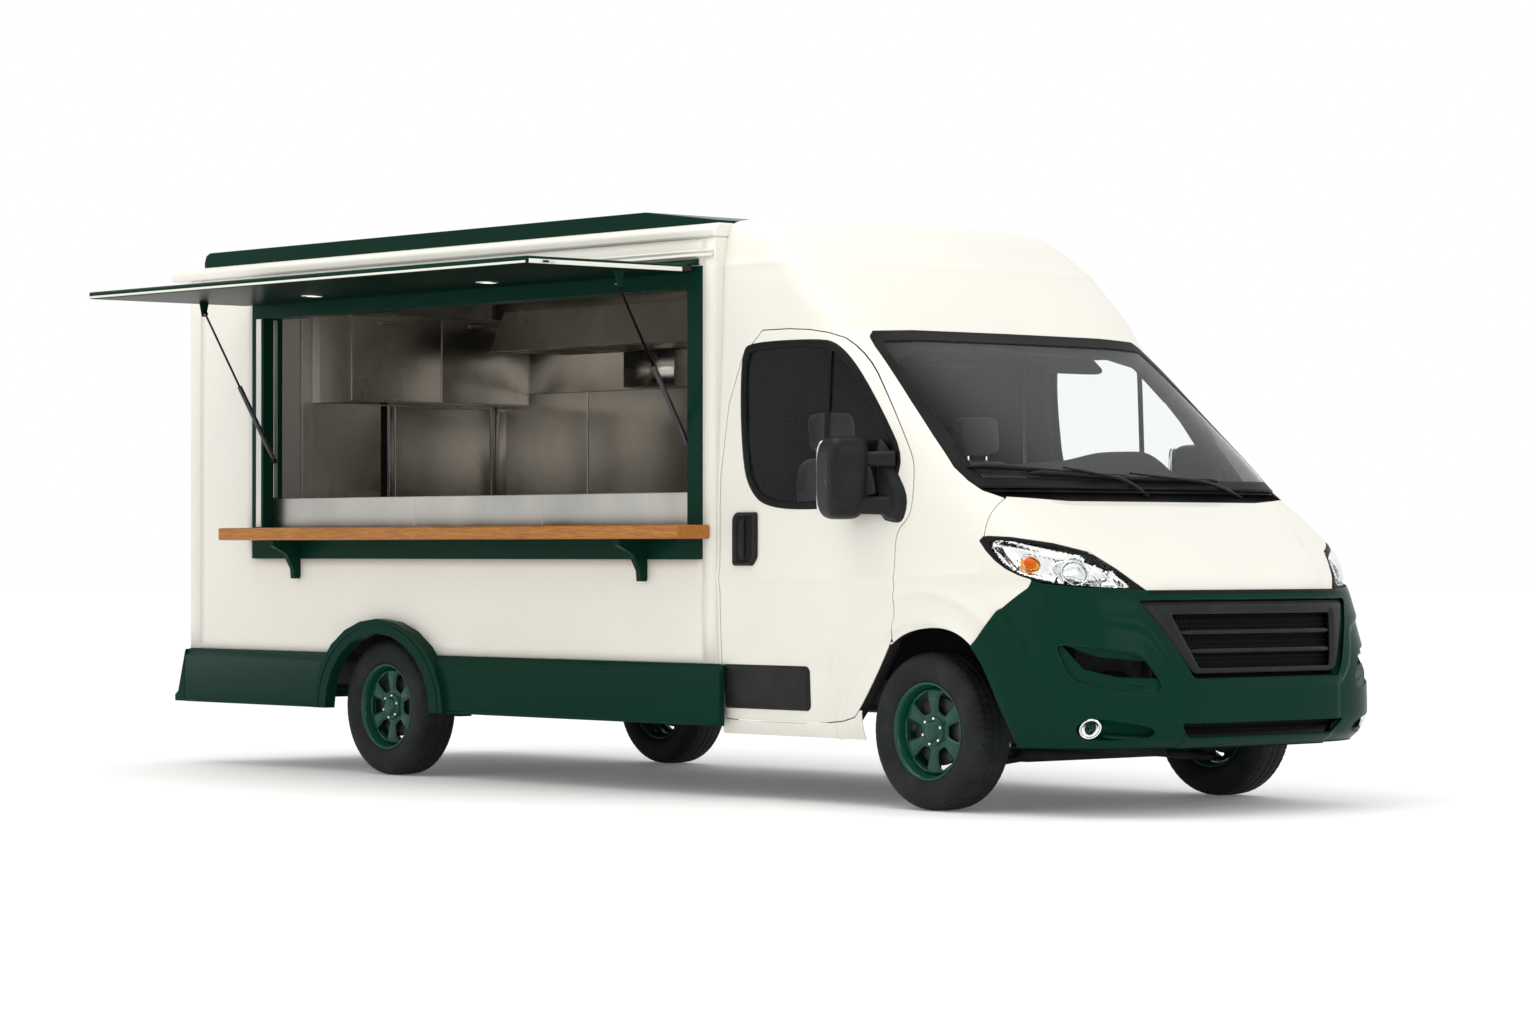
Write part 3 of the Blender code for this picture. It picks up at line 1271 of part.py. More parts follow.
def make_kitchen():
    """Counters, hood and cupboard in stainless steel."""
    inside_rear = BOX_REAR + WALL + SEAT
    inside_front = BOX_FRONT - WALL - SEAT
    wall_in = BOX_HALF - WALL - SEAT
    base = FLOOR_HIGH + SEAT
    right = block((inside_rear + 0.60, -FRAME_IN + SEAT, base), (-1.60, -0.42, WORKTOP))
    apron = block(
        (WINDOW_REAR + POST + SEAT, -0.985, SHELF_HIGH), (WINDOW_FRONT - POST - SEAT, -0.90, WORKTOP),
    )
    cut(right, wheel_tunnel(-1, 0.02 + SEAT))
    join(right, apron)
    place(right, "right_counter", "stainless")
    left = block((inside_rear, wall_in - LEFT_DEPTH, base), (SIDE_DOOR_REAR - 0.15, wall_in, WORKTOP))
    rear = block((inside_rear, -0.30, base), (inside_rear + 0.58, wall_in - 0.1, WORKTOP))
    join(left, rear)
    cut(left, wheel_tunnel(1, 0.02 + SEAT))
    place(left, "left_counter", "stainless")
    panel = 0.012
    lining = block((inside_rear, wall_in - panel, WORKTOP + SEAT), (SIDE_DOOR_REAR - 0.15, wall_in, WALL_TOP - SEAT))
    back = block((inside_rear, -0.36, WORKTOP + SEAT), (inside_rear + panel, wall_in - 0.005, WALL_TOP - SEAT))
    join(lining, back)
    hood = plate(
        [(wall_in - 0.55, 2.24), (wall_in - 0.005, 2.24), (wall_in - 0.005, 2.46), (wall_in - 0.45, 2.46)],
        "x", HOOD[0], HOOD[1],
    )
    join(lining, hood)
    place(lining, "lining_and_hood", "stainless")
    cupboard = block(
        (inside_rear + panel + SEAT, -0.26, CUPBOARD_LOW),
        (inside_rear + CUPBOARD_DEPTH, wall_in - panel - SEAT, CUPBOARD_HIGH),
    )
    place(cupboard, "overhead_cupboard", "stainless")


make_chassis()
make_front_axle()
make_knuckles()
make_rear_axle()
for wheel_tag, wheel_x, wheel_side in (
    ("front_left", 0.0, 1), ("front_right", 0.0, -1),
    ("rear_left", -WHEELBASE, 1), ("rear_right", -WHEELBASE, -1),
):
    make_wheel(wheel_tag, wheel_x, wheel_side)
make_engine()
make_tank()
make_cab_shell()
make_doors()
make_windscreen()
make_bonnet()
make_grille()
make_front_bumper()
make_headlamps()
make_mirrors()
make_dashboard()
make_steering_wheel()
make_seats()
make_box_floor()
make_box_walls()
make_roof()
make_skirts()
make_rear_bumper()
make_window_frame()
make_shelf()
make_hatch()
make_hatch_hinge()
make_struts()
make_side_door()
make_kitchen()
bpy.context.view_layer.update()
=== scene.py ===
"""A food truck: a van front on a chassis, with a kitchen box, a raised service hatch and a shelf.

Places are in metres, in the frame of the CAD part. Most pieces are drawn in the truck's own frame,
which starts on the ground under the middle of the front axle, and are moved by AXLE_FOOT at the end.
"""
import json
import math

import bmesh
import bpy
import numpy as np
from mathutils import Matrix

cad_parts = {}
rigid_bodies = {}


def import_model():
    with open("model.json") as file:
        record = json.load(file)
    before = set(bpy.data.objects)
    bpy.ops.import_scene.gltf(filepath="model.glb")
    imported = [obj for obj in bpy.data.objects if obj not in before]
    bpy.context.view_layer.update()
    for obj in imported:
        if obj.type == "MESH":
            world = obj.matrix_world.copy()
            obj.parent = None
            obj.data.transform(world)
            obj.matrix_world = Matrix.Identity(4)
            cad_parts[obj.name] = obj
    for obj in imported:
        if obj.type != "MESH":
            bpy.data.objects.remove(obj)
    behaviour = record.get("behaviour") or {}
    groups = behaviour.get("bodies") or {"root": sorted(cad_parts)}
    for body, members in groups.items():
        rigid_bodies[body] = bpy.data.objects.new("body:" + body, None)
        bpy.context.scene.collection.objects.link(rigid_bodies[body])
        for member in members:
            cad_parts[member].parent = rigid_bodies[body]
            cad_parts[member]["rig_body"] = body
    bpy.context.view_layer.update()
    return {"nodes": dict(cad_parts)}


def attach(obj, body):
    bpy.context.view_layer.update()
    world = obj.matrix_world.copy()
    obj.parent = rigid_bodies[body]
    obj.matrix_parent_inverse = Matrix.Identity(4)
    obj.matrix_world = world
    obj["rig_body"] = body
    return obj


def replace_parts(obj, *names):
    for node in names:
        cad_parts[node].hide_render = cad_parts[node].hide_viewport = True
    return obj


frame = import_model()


# Camera, floor and light.
# The truck stands on a pale studio floor. It is seen from its front right corner at the height of
# its lamps, with a long lens, and lit by soft boxes over it, ahead of it and beside its window.

AXLE_FOOT = np.array((2.42, 0.399, 0.0))
EYE = AXLE_FOOT + (13.7933, -13.9305, 1.1411)
YAW, PITCH = math.radians(48.9645), math.radians(-0.5270)
SENSOR_WIDTH, FOCAL_PIXELS, PICTURE_WIDTH = 36.0, 4296.6, 1536
FLOOR_HALF = 90

lens = bpy.data.cameras.new("studio camera")
lens.sensor_width = SENSOR_WIDTH
lens.lens = FOCAL_PIXELS / PICTURE_WIDTH * SENSOR_WIDTH
lens.clip_end = 300.0
camera = bpy.data.objects.new("studio camera", lens)
camera.location = EYE
camera.rotation_euler = (math.pi / 2 - PITCH, 0.0, YAW)
bpy.context.scene.collection.objects.link(camera)
bpy.context.scene.camera = camera

floor_mesh = bpy.data.meshes.new("studio floor")
corners = [(x * FLOOR_HALF, y * FLOOR_HALF, 0) for x, y in ((-1, -1), (1, -1), (1, 1), (-1, 1))]
floor_mesh.from_pydata(corners, [], [(0, 1, 2, 3)])
floor = bpy.data.objects.new("studio floor", floor_mesh)
bpy.context.scene.collection.objects.link(floor)
floor_finish = bpy.data.materials.new("pale floor")
floor_finish.use_nodes = True
floor_shader = floor_finish.node_tree.nodes["Principled BSDF"]
floor_shader.inputs["Base Color"].default_value = (0.93, 0.93, 0.925, 1.0)
floor_shader.inputs["Roughness"].default_value = 0.7
floor_shader.inputs["Emission Color"].default_value = (1.0, 1.0, 1.0, 1.0)
floor_shader.inputs["Emission Strength"].default_value = 0.09
floor_mesh.materials.append(floor_finish)

sky = bpy.data.worlds.new("studio")
sky.use_nodes = True
sky.node_tree.nodes["Background"].inputs["Color"].default_value = (1.0, 1.0, 1.0, 1.0)
sky.node_tree.nodes["Background"].inputs["Strength"].default_value = 1.0
bpy.context.scene.world = sky
bpy.context.scene.view_settings.view_transform = "Standard"


def soft_box(name, place, target, width, power, tint):
    """An area lamp at a place, turned to a target, as wide as given."""
    lamp = bpy.data.lights.new(name, "AREA")
    lamp.shape = "RECTANGLE"
    lamp.size, lamp.size_y = width, width * 0.6
    lamp.energy = power
    lamp.color = tint
    holder = bpy.data.objects.new(name, lamp)
    holder.location = place
    way = np.array(target) - np.array(place)
    yaw = math.atan2(way[1], way[0])
    tilt = math.atan2(math.hypot(way[0], way[1]), -way[2])
    holder.rotation_euler = (tilt, 0.0, yaw - math.pi / 2)
    bpy.context.scene.collection.objects.link(holder)


soft_box("over the truck", (0.0, -2.5, 7.5), (0.0, 0.0, 1.0), 8.0, 215.0, (1.0, 0.99, 0.97))
soft_box("ahead of the truck", (11.0, -2.0, 4.5), (2.6, 0.0, 1.2), 5.0, 135.0, (1.0, 0.99, 0.97))
soft_box("beside the window", (-2.0, -12.0, 3.5), (-1.0, 0.0, 1.4), 6.0, 60.0, (1.0, 0.99, 0.97))


# Paint.
# Coach paint over primed steel and glass-fibre sheet: cream on the cab and box, dark green on the
# trim. It is sprayed, with a clear coat, slight orange peel and a little road dust low down.

def link(tree, start, end):
    """Join an output socket to an input socket."""
    tree.links.new(start, end)


def new_group(name, inputs, outputs):
    """A shader node group with named inputs (name, type, value) and outputs (name, type)."""
    tree = bpy.data.node_groups.new(name, "ShaderNodeTree")
    for title, kind, value in inputs:
        socket = tree.interface.new_socket(title, in_out="INPUT", socket_type="NodeSocket" + kind)
        socket.default_value = value
    for title, kind in outputs:
        tree.interface.new_socket(title, in_out="OUTPUT", socket_type="NodeSocket" + kind)
    return tree, tree.nodes.new("NodeGroupInput"), tree.nodes.new("NodeGroupOutput")


def noise(tree, scale, detail=3.0, stretch=(1.0, 1.0, 1.0)):
    """A noise texture on Object coordinates, stretched along the axes; gives its value socket."""
    coordinates = tree.nodes.new("ShaderNodeTexCoord")
    mapping = tree.nodes.new("ShaderNodeMapping")
    mapping.inputs["Scale"].default_value = stretch
    texture = tree.nodes.new("ShaderNodeTexNoise")
    texture.inputs["Scale"].default_value = scale
    texture.inputs["Detail"].default_value = detail
    link(tree, coordinates.outputs["Object"], mapping.inputs["Vector"])
    link(tree, mapping.outputs["Vector"], texture.inputs["Vector"])
    return texture.outputs["Fac"]


def ranged(tree, value, low, high, to_low, to_high):
    """A value mapped from one range to another, clamped."""
    node = tree.nodes.new("ShaderNodeMapRange")
    for title, number in (("From Min", low), ("From Max", high), ("To Min", to_low), ("To Max", to_high)):
        node.inputs[title].default_value = number
    link(tree, value, node.inputs["Value"])
    return node.outputs["Result"]


def blend_colours(tree, factor, one, two):
    """A mix of two colours; each is a socket or a plain colour."""
    node = tree.nodes.new("ShaderNodeMix")
    node.data_type = "RGBA"
    sockets = [socket for socket in node.inputs if socket.type == "RGBA"]
    link(tree, factor, node.inputs["Factor"])
    for socket, colour in zip(sockets, (one, two)):
        if hasattr(colour, "links"):
            link(tree, colour, socket)
        else:
            socket.default_value = (*colour, 1.0)
    return next(socket for socket in node.outputs if socket.type == "RGBA")


def maths(tree, operation, one, two):
    """The result of one operation on two values; each is a socket or a number."""
    node = tree.nodes.new("ShaderNodeMath")
    node.operation = operation
    for socket, value in zip(node.inputs, (one, two)):
        if hasattr(value, "links"):
            link(tree, value, socket)
        else:
            socket.default_value = value
    return node.outputs[0]


def toned(tree, colour, value):
    """A colour made lighter or darker by a value."""
    node = tree.nodes.new("ShaderNodeHueSaturation")
    link(tree, colour, node.inputs["Color"])
    link(tree, value, node.inputs["Value"])
    return node.outputs["Color"]


def bumped(tree, height, strength, distance):
    """The normal that a height gives; the strength is a socket or a number."""
    node = tree.nodes.new("ShaderNodeBump")
    node.inputs["Distance"].default_value = distance
    if hasattr(strength, "links"):
        link(tree, strength, node.inputs["Strength"])
    else:
        node.inputs["Strength"].default_value = strength
    link(tree, height, node.inputs["Height"])
    return node.outputs["Normal"]


SURFACE = [("Color", "Color"), ("Roughness", "Float"), ("Normal", "Vector")]


def hand_out(tree, outs, **sockets):
    """Feed a group's outputs by name."""
    for title, socket in sockets.items():
        link(tree, socket, outs.inputs[title])
    return tree


def sprayed_paint_group():
    """Colour, roughness and normal of sprayed paint: drift in tone, dust low down, orange peel."""
    tree, ins, outs = new_group(
        "sprayed paint",
        [("Color", "Color", (0.8, 0.8, 0.8, 1.0)), ("Dust", "Float", 0.25), ("Roughness", "Float", 0.3)],
        SURFACE,
    )
    drift = toned(tree, ins.outputs["Color"], ranged(tree, noise(tree, 0.9), 0.3, 0.7, 0.965, 1.02))
    coordinates = tree.nodes.new("ShaderNodeTexCoord")
    split = tree.nodes.new("ShaderNodeSeparateXYZ")
    link(tree, coordinates.outputs["Object"], split.inputs["Vector"])
    low_down = ranged(tree, split.outputs["Z"], 0.25, 1.1, 1.0, 0.0)
    cloud = ranged(tree, noise(tree, 5.0, 5.0), 0.35, 0.75, 0.2, 1.0)
    dusty = maths(tree, "MULTIPLY", maths(tree, "MULTIPLY", low_down, cloud), ins.outputs["Dust"])
    return hand_out(
        tree, outs, Color=blend_colours(tree, dusty, drift, (0.36, 0.33, 0.28)),
        Roughness=maths(tree, "ADD", ins.outputs["Roughness"], dusty),
        Normal=bumped(tree, noise(tree, 260.0, 2.0), 0.035, 0.001),
    )


SPRAYED = sprayed_paint_group()


def new_finish(name, group, plain, **inputs):
    """A material whose shader is fed by a node group.

    The group's inputs are set by name, and the shader's own sockets from the plain values.
    """
    finish = bpy.data.materials.new(name)
    finish.use_nodes = True
    tree = finish.node_tree
    shader, node = tree.nodes["Principled BSDF"], tree.nodes.new("ShaderNodeGroup")
    node.node_tree = group
    for holder, values in ((shader, plain), (node, inputs)):
        for title, value in values.items():
            holder.inputs[title].default_value = (*value, 1.0) if isinstance(value, tuple) else value
    for output, title in (("Color", "Base Color"), ("Roughness", "Roughness"), ("Normal", "Normal")):
        if output in node.outputs:
            link(tree, node.outputs[output], shader.inputs[title])
    return finish


def sprayed_finish(name, colour, dust, roughness, coat, gloss):
    """A sprayed paint; the coat is its clear layer, and the gloss how much it mirrors."""
    plain = {"Coat Weight": coat, "Coat Roughness": 0.04, "Specular IOR Level": gloss}
    return new_finish(name, SPRAYED, plain, Color=colour, Dust=dust, Roughness=roughness)


CREAM = sprayed_finish("cream coach paint", (0.750, 0.734, 0.664), 0.14, 0.34, 0.20, 0.25)
GREEN = sprayed_finish("dark green coach paint", (0.0030, 0.0275, 0.0165), 0.0, 0.28, 0.03, 0.03)
RIM_GREEN = sprayed_finish("green wheel lacquer", (0.003, 0.052, 0.030), 0.01, 0.20, 0.25, 0.15)


# Cab skin: pressed steel panels.
# The cab is a van front of pressed sheet steel: roof, pillars, wings and sills in one, with hung
# doors and a bonnet. Every outer panel lies on one smooth form, and its edges are folded back.

CAB_SECTIONS = np.array((
    # height, foremost x, half width, corner power, x where the corner starts
    (0.300, 1.020, 0.985, 3.3, 0.25),
    (0.345, 1.075, 1.000, 3.4, 0.22),
    (0.430, 1.110, 1.012, 3.5, 0.20),
    (0.610, 1.106, 1.020, 3.5, 0.15),
    (0.800, 1.060, 1.028, 3.4, 0.08),
    (0.900, 1.030, 1.030, 3.3, 0.04),
    (0.972, 1.000, 1.030, 3.3, 0.00),
    (1.060, 0.900, 1.030, 4.3, -0.05),
    (1.150, 0.775, 1.030, 5.4, -0.10),
    (1.250, 0.640, 1.030, 5.7, -0.20),
    (1.345, 0.505, 1.030, 5.6, -0.35),
    (1.425, 0.410, 1.028, 5.5, -0.50),
    (1.600, 0.195, 1.022, 5.5, -0.62),
    (1.800, -0.065, 1.014, 5.8, -0.80),
    (2.000, -0.330, 1.006, 6.4, -0.95),
    (2.130, -0.500, 1.000, 7.0, -1.05),
    (2.240, -0.605, 0.997, 8.0, -1.12),
    (2.350, -0.720, 0.993, 8.0, -1.18),
    (2.460, -0.850, 0.988, 8.0, -1.23),
    (2.560, -0.990, 0.975, 7.0, -1.27),
    (2.625, -1.080, 0.955, 5.5, -1.30),
    (2.670, -1.160, 0.920, 4.5, -1.33),
    (2.695, -1.230, 0.800, 3.5, -1.34),
))
CAB_REAR = -1.385
CAB_HEART = np.array((CAB_REAR, 0.0, 1.2))
LONGEST_REACH = 3.6
LAMP_HEIGHT = 0.95
SHUT_LINE = 0.0045


def eased(at, knots, values):
    """A smooth curve through the knots, cubic between them.

    Each knot's slope is held between its neighbours', so the curve never swings past a knot.
    """
    steps, rises = np.diff(knots), np.diff(values, axis=0)
    slopes = rises / steps[:, None]
    same = slopes[1:] * slopes[:-1] > 0
    sums = np.where(same, slopes[1:] + slopes[:-1], 1.0)
    middle = np.where(same, 2 * slopes[1:] * slopes[:-1] / sums, 0.0)
    tangents = np.vstack((slopes[:1], middle, slopes[-1:]))
    at = np.clip(at, knots[0], knots[-1])
    index = np.clip(np.searchsorted(knots, at, side="right") - 1, 0, len(knots) - 2)
    width = steps[index][:, None]
    part = (at - knots[index])[:, None] / width
    square, cube = part ** 2, part ** 3
    return (
        (2 * cube - 3 * square + 1) * values[index] + (cube - 2 * square + part) * width * tangents[index]
        + (3 * square - 2 * cube) * values[index + 1] + (cube - square) * width * tangents[index + 1]
    )


climb = np.hypot(np.diff(CAB_SECTIONS[:, 0]), np.diff(CAB_SECTIONS[:, 1]))
CLIMBS = np.concatenate(((0.0,), np.cumsum(climb)))
FINE_CLIMBS = np.linspace(0.0, CLIMBS[-1], 2000)
FINE_HEIGHTS = eased(FINE_CLIMBS, CLIMBS, CAB_SECTIONS)[:, 0]


def climb_at(height):
    """How far up the skin a height lies, measured along it from its foot."""
    return float(np.interp(height, FINE_HEIGHTS, FINE_CLIMBS))


def unit(vectors):
    """The same directions, each one long."""
    return vectors / np.linalg.norm(vectors, axis=-1, keepdims=True)


def outside_by(x, y, section):
    """Positive outside the cab's section: a superellipse from the straight side to the nose, less one."""
    nose, half, power, start = section[:, 1], section[:, 2], section[:, 3], section[:, 4]
    ahead = np.maximum(x - start, 0.0) / (nose - start)
    return ahead ** power + (np.abs(y) / half) ** power - 1.0


def reach_along(section, from_x, from_y, way_x, way_y):
    """How far a ray from inside goes before it meets the section, by halving the gap 40 times."""
    near, far = np.zeros(len(section)), np.full(len(section), LONGEST_REACH)
    for _ in range(40):
        middle = (near + far) / 2
        out = outside_by(from_x + way_x * middle, from_y + way_y * middle, section) > 0
        near, far = np.where(out, near, middle), np.where(out, middle, far)
    return near


def ring_angles():
    """Girth along the section at lamp height against the angle at the middle of the cab's rear edge."""
    angles = np.linspace(0.0, math.pi / 2, 600)
    zero = np.zeros(len(angles))
    section = eased(zero + climb_at(LAMP_HEIGHT), CLIMBS, CAB_SECTIONS)
    reach = reach_along(section, zero + CAB_REAR, zero, np.cos(angles), -np.sin(angles))
    places = np.stack((reach * np.cos(angles), reach * np.sin(angles)), 1)
    girth = np.concatenate(((0.0,), np.cumsum(np.linalg.norm(np.diff(places, axis=0), axis=1))))
    return angles, girth


RING_ANGLES, RING_GIRTHS = ring_angles()
GIRTH = RING_GIRTHS[-1]


def cab_place(girths, climbs):
    """The cab's skin as a function of girth, right side positive, and climb."""
    section = eased(climbs, CLIMBS, CAB_SECTIONS)
    turn = np.sign(girths) * np.interp(np.abs(girths), RING_GIRTHS, RING_ANGLES)
    zero = np.zeros(len(girths))
    reach = reach_along(section, zero + CAB_REAR, zero, np.cos(turn), -np.sin(turn))
    return np.stack((CAB_REAR + reach * np.cos(turn), -reach * np.sin(turn), section[:, 0]), 1)


def cab_skin(girths, climbs, lift):
    """The skin raised along its normal, which is the cross product of its two slopes."""
    step = 0.004
    middle = np.clip(girths, -GIRTH + step, GIRTH - step)
    height = np.clip(climbs, step, CLIMBS[-1] - step)
    along = cab_place(middle + step, height) - cab_place(middle - step, height)
    up = cab_place(middle, height + step) - cab_place(middle, height - step)
    normal = unit(np.cross(up, along))
    places = cab_place(girths, climbs)
    outwards = np.sign(np.sum(normal * (places - CAB_HEART), axis=1))
    return places + normal * (outwards * lift)[:, None]


def softened(outline, times=2):
    """A closed outline with its corners cut at a quarter of each side, a few times over."""
    outline = np.asarray(outline, float)
    for _ in range(times):
        after = np.roll(outline, -1, axis=0)
        outline = np.stack((outline * 0.75 + after * 0.25, outline * 0.25 + after * 0.75), 1).reshape(-1, 2)
    return outline


def quadratic(start, bend, end, part):
    """A quadratic curve from start to end that leans towards its bend."""
    return start * (1 - part) ** 2 + 2 * bend * part * (1 - part) + end * part ** 2


def cornered(outline, radius):
    """A closed outline with each corner rounded by a quadratic curve that starts a radius away from it."""
    outline = np.asarray(outline, float)
    before, after = np.roll(outline, 1, axis=0) - outline, np.roll(outline, -1, axis=0) - outline
    start = outline + before * (radius / np.linalg.norm(before, axis=1))[:, None]
    end = outline + after * (radius / np.linalg.norm(after, axis=1))[:, None]
    part = np.linspace(0.0, 1.0, 7)[None, :, None]
    return quadratic(start[:, None], outline[:, None], end[:, None], part).reshape(-1, 2)


def dense(outline, step=0.012, closed=True):
    """Points along an outline no further apart than the step."""
    outline = np.asarray(outline, float)
    if closed:
        outline = np.vstack((outline, outline[:1]))
    runs = np.linalg.norm(np.diff(outline, axis=0), axis=1)
    counts = np.maximum(np.ceil(runs / step).astype(int), 1)
    parts = [
        a + (b - a) * (np.arange(count) / count)[:, None]
        for a, b, count in zip(outline[:-1], outline[1:], counts)
    ]
    return np.vstack(parts if closed else parts + [outline[-1:]])


def on_skin(points, turn):
    """Points (across, height) seen from the right side (turn 0), the front (90) or the corner (45).

    Each is found by a ray that starts inside the cab, and given as girth and climb.
    """
    points = np.asarray(points, float)
    across, height = points[:, 0], points[:, 1]
    climbs = np.interp(height, FINE_HEIGHTS, FINE_CLIMBS)
    section = eased(climbs, CLIMBS, CAB_SECTIONS)
    angle = math.radians(turn)
    zero = np.zeros(len(points))
    way_x, way_y = math.sin(angle) + zero, -math.cos(angle) + zero
    inwards = 1.25 * math.sin(angle) ** 2
    from_x = across * math.cos(angle) - way_x * inwards
    from_y = across * math.sin(angle) - way_y * inwards
    reach = reach_along(section, from_x, from_y, way_x, way_y)
    x, y = from_x + way_x * reach, from_y + way_y * reach
    turns = np.arctan2(-y, x - CAB_REAR)
    return np.stack((np.sign(turns) * np.interp(np.abs(turns), RING_ANGLES, RING_GIRTHS), climbs), 1)


def four_corners(left, low, right, high):
    """A rectangle's outline."""
    return ((left, low), (right, low), (right, high), (left, high))


def flipped(outline):
    """The same outline on the other side."""
    return np.asarray(outline) * (-1.0, 1.0)


def inside(points, outline):
    """True where a ray from the point crosses the outline an odd number of times."""
    a, b = outline, np.roll(outline, -1, axis=0)
    x, y = points[:, :1], points[:, 1:]
    spans = (a[:, 1] > y) != (b[:, 1] > y)
    slope = (b[:, 0] - a[:, 0]) / np.where(b[:, 1] == a[:, 1], 1.0, b[:, 1] - a[:, 1])
    crossing = a[:, 0] + (y - a[:, 1]) * slope
    return (np.sum(spans & (x < crossing), axis=1) % 2) == 1


def nearest_on(points, starts, ends):
    """For each point, the nearest place on any of the straight runs, and how far it is."""
    run = ends - starts
    best = np.empty_like(points)
    gap = np.empty(len(points))
    for first in range(0, len(points), 4000):
        some = points[first:first + 4000, None, :]
        part = np.sum((some - starts) * run, axis=2) / np.maximum(np.sum(run * run, axis=1), 1e-12)
        foot = starts + run * np.clip(part, 0.0, 1.0)[..., None]
        away = np.linalg.norm(some - foot, axis=2)
        choice = np.argmin(away, axis=1)
        rows = np.arange(len(choice))
        best[first:first + 4000], gap[first:first + 4000] = foot[rows, choice], away[rows, choice]
    return best, gap


def trimmed_grid(kept, dropped, spacing):
    """A square grid cut to shape.

    Cells stay where their middle is inside every kept outline and outside every dropped one. Corners
    on the cut slide to the nearest place on it, and the rows next to it are evened out. Gives the
    grid's points, its quads, and each point's distance from the cut.
    """
    kept, dropped = [np.asarray(o, float) for o in kept], [np.asarray(o, float) for o in dropped]
    low, high = kept[0].min(axis=0), kept[0].max(axis=0)
    counts = np.maximum(np.ceil((high - low) / spacing).astype(int), 2)
    across = np.linspace(low[0], high[0], counts[0] + 1)
    along = np.linspace(low[1], high[1], counts[1] + 1)
    points = np.stack(np.meshgrid(across, along, indexing="ij"), 2).reshape(-1, 2)
    rows, columns = np.meshgrid(np.arange(counts[0]), np.arange(counts[1]), indexing="ij")
    corner = (rows * (counts[1] + 1) + columns).ravel()
    quads = np.stack((corner, corner + counts[1] + 1, corner + counts[1] + 2, corner + 1), 1)

    def within(places, skip=None):
        good = np.ones(len(places), bool)
        for number, outline in enumerate(kept):
            if skip != number:
                good &= inside(places, outline)
        for number, outline in enumerate(dropped):
            if skip != len(kept) + number:
                good &= ~inside(places, outline)
        return good

    quads = quads[within(points[quads].mean(axis=1))]
    used, inverse = np.unique(quads, return_inverse=True)
    points, quads = points[used], inverse.reshape(-1, 4)
    starts, ends = [], []
    for number, outline in enumerate(kept + dropped):
        after = np.roll(outline, -1, axis=0)
        real = within((outline + after) / 2, skip=number)
        starts.append(outline[real])
        ends.append(after[real])
    starts, ends = np.vstack(starts), np.vstack(ends)
    border = np.bincount(quads.ravel(), minlength=len(points)) < 4
    points[border] = nearest_on(points[border], starts, ends)[0]
    edges = np.vstack([quads[:, [k, (k + 1) % 4]] for k in range(4)])
    ring = border.copy()
    for _ in range(2):
        grow = ring[edges].any(axis=1)
        ring[edges[grow].ravel()] = True
    loose = ring & ~border
    for _ in range(4):
        total = np.zeros_like(points)
        count = np.zeros(len(points))
        for one, two in ((0, 1), (1, 0)):
            np.add.at(total, edges[:, one], points[edges[:, two]])
            np.add.at(count, edges[:, one], 1)
        points[loose] = (total / count[:, None])[loose]
    return points, quads, nearest_on(points, starts, ends)[1]


def new_piece(name, places, faces, finish, body="truck", slot=None, smooth=True, closed=False):
    """A mesh object from places in the truck's own frame and faces; it rides on a body.

    A closed form's faces are all turned outwards.
    """
    places = np.asarray(places, float) + AXLE_FOOT
    mesh = bpy.data.meshes.new(name)
    mesh.from_pydata(places.tolist(), [], faces.tolist() if isinstance(faces, np.ndarray) else faces)
    if closed:
        work = bmesh.new()
        work.from_mesh(mesh)
        bmesh.ops.recalc_face_normals(work, faces=work.faces)
        work.to_mesh(mesh)
        work.free()
    mesh.materials.append(finish)
    mesh.polygons.foreach_set("use_smooth", [smooth] * len(mesh.polygons))
    piece = bpy.data.objects.new(name, mesh)
    bpy.context.scene.collection.objects.link(piece)
    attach(piece, body)
    return piece


def rim_distance(piece, distances):
    """Keep each point's distance from the piece's edge as an attribute."""
    layer = piece.data.attributes.new("edge_gap", "FLOAT", "POINT")
    layer.data.foreach_set("value", np.asarray(distances, np.float32))


def thickened(piece, thickness, edge=0.0):
    """Fold the sheet's edges back: a wall on its inner side, with its outer edge rounded."""
    wall = piece.modifiers.new("wall", "SOLIDIFY")
    wall.thickness = thickness
    wall.offset = -1.0
    if edge:
        fold = piece.modifiers.new("fold", "BEVEL")
        fold.width = edge
        fold.segments = 2
        fold.limit_method = "ANGLE"
        fold.angle_limit = math.radians(55)
    return piece


def outward_quads(places, quads, centre):
    """The quads, all turned round if most of them face the centre."""
    a, b, c = (places[quads[:, k]] for k in range(3))
    facing = np.sum(np.cross(b - a, c - a) * (a - centre), axis=1)
    return quads if facing.sum() > 0 else quads[:, ::-1]


def cab_panel(name, kept, dropped, finish, lift=0.002, spacing=0.015, thickness=0.004, body="truck",
              slot="cream_paint", relief=None, edge=0.0016):
    """One pressed panel: the trimmed part of the cab's skin, raised by its lift and its relief."""
    grid, quads, gaps = trimmed_grid(kept, dropped, spacing)
    flat = cab_place(grid[:, 0], grid[:, 1])
    height = lift + (relief(flat, gaps) if relief else 0.0)
    places = cab_skin(grid[:, 0], grid[:, 1], np.broadcast_to(height, len(grid)))
    quads = outward_quads(places, quads, CAB_MIDDLE)
    panel = new_piece(name, places, quads, finish, body, slot)
    rim_distance(panel, gaps)
    return thickened(panel, thickness, edge)


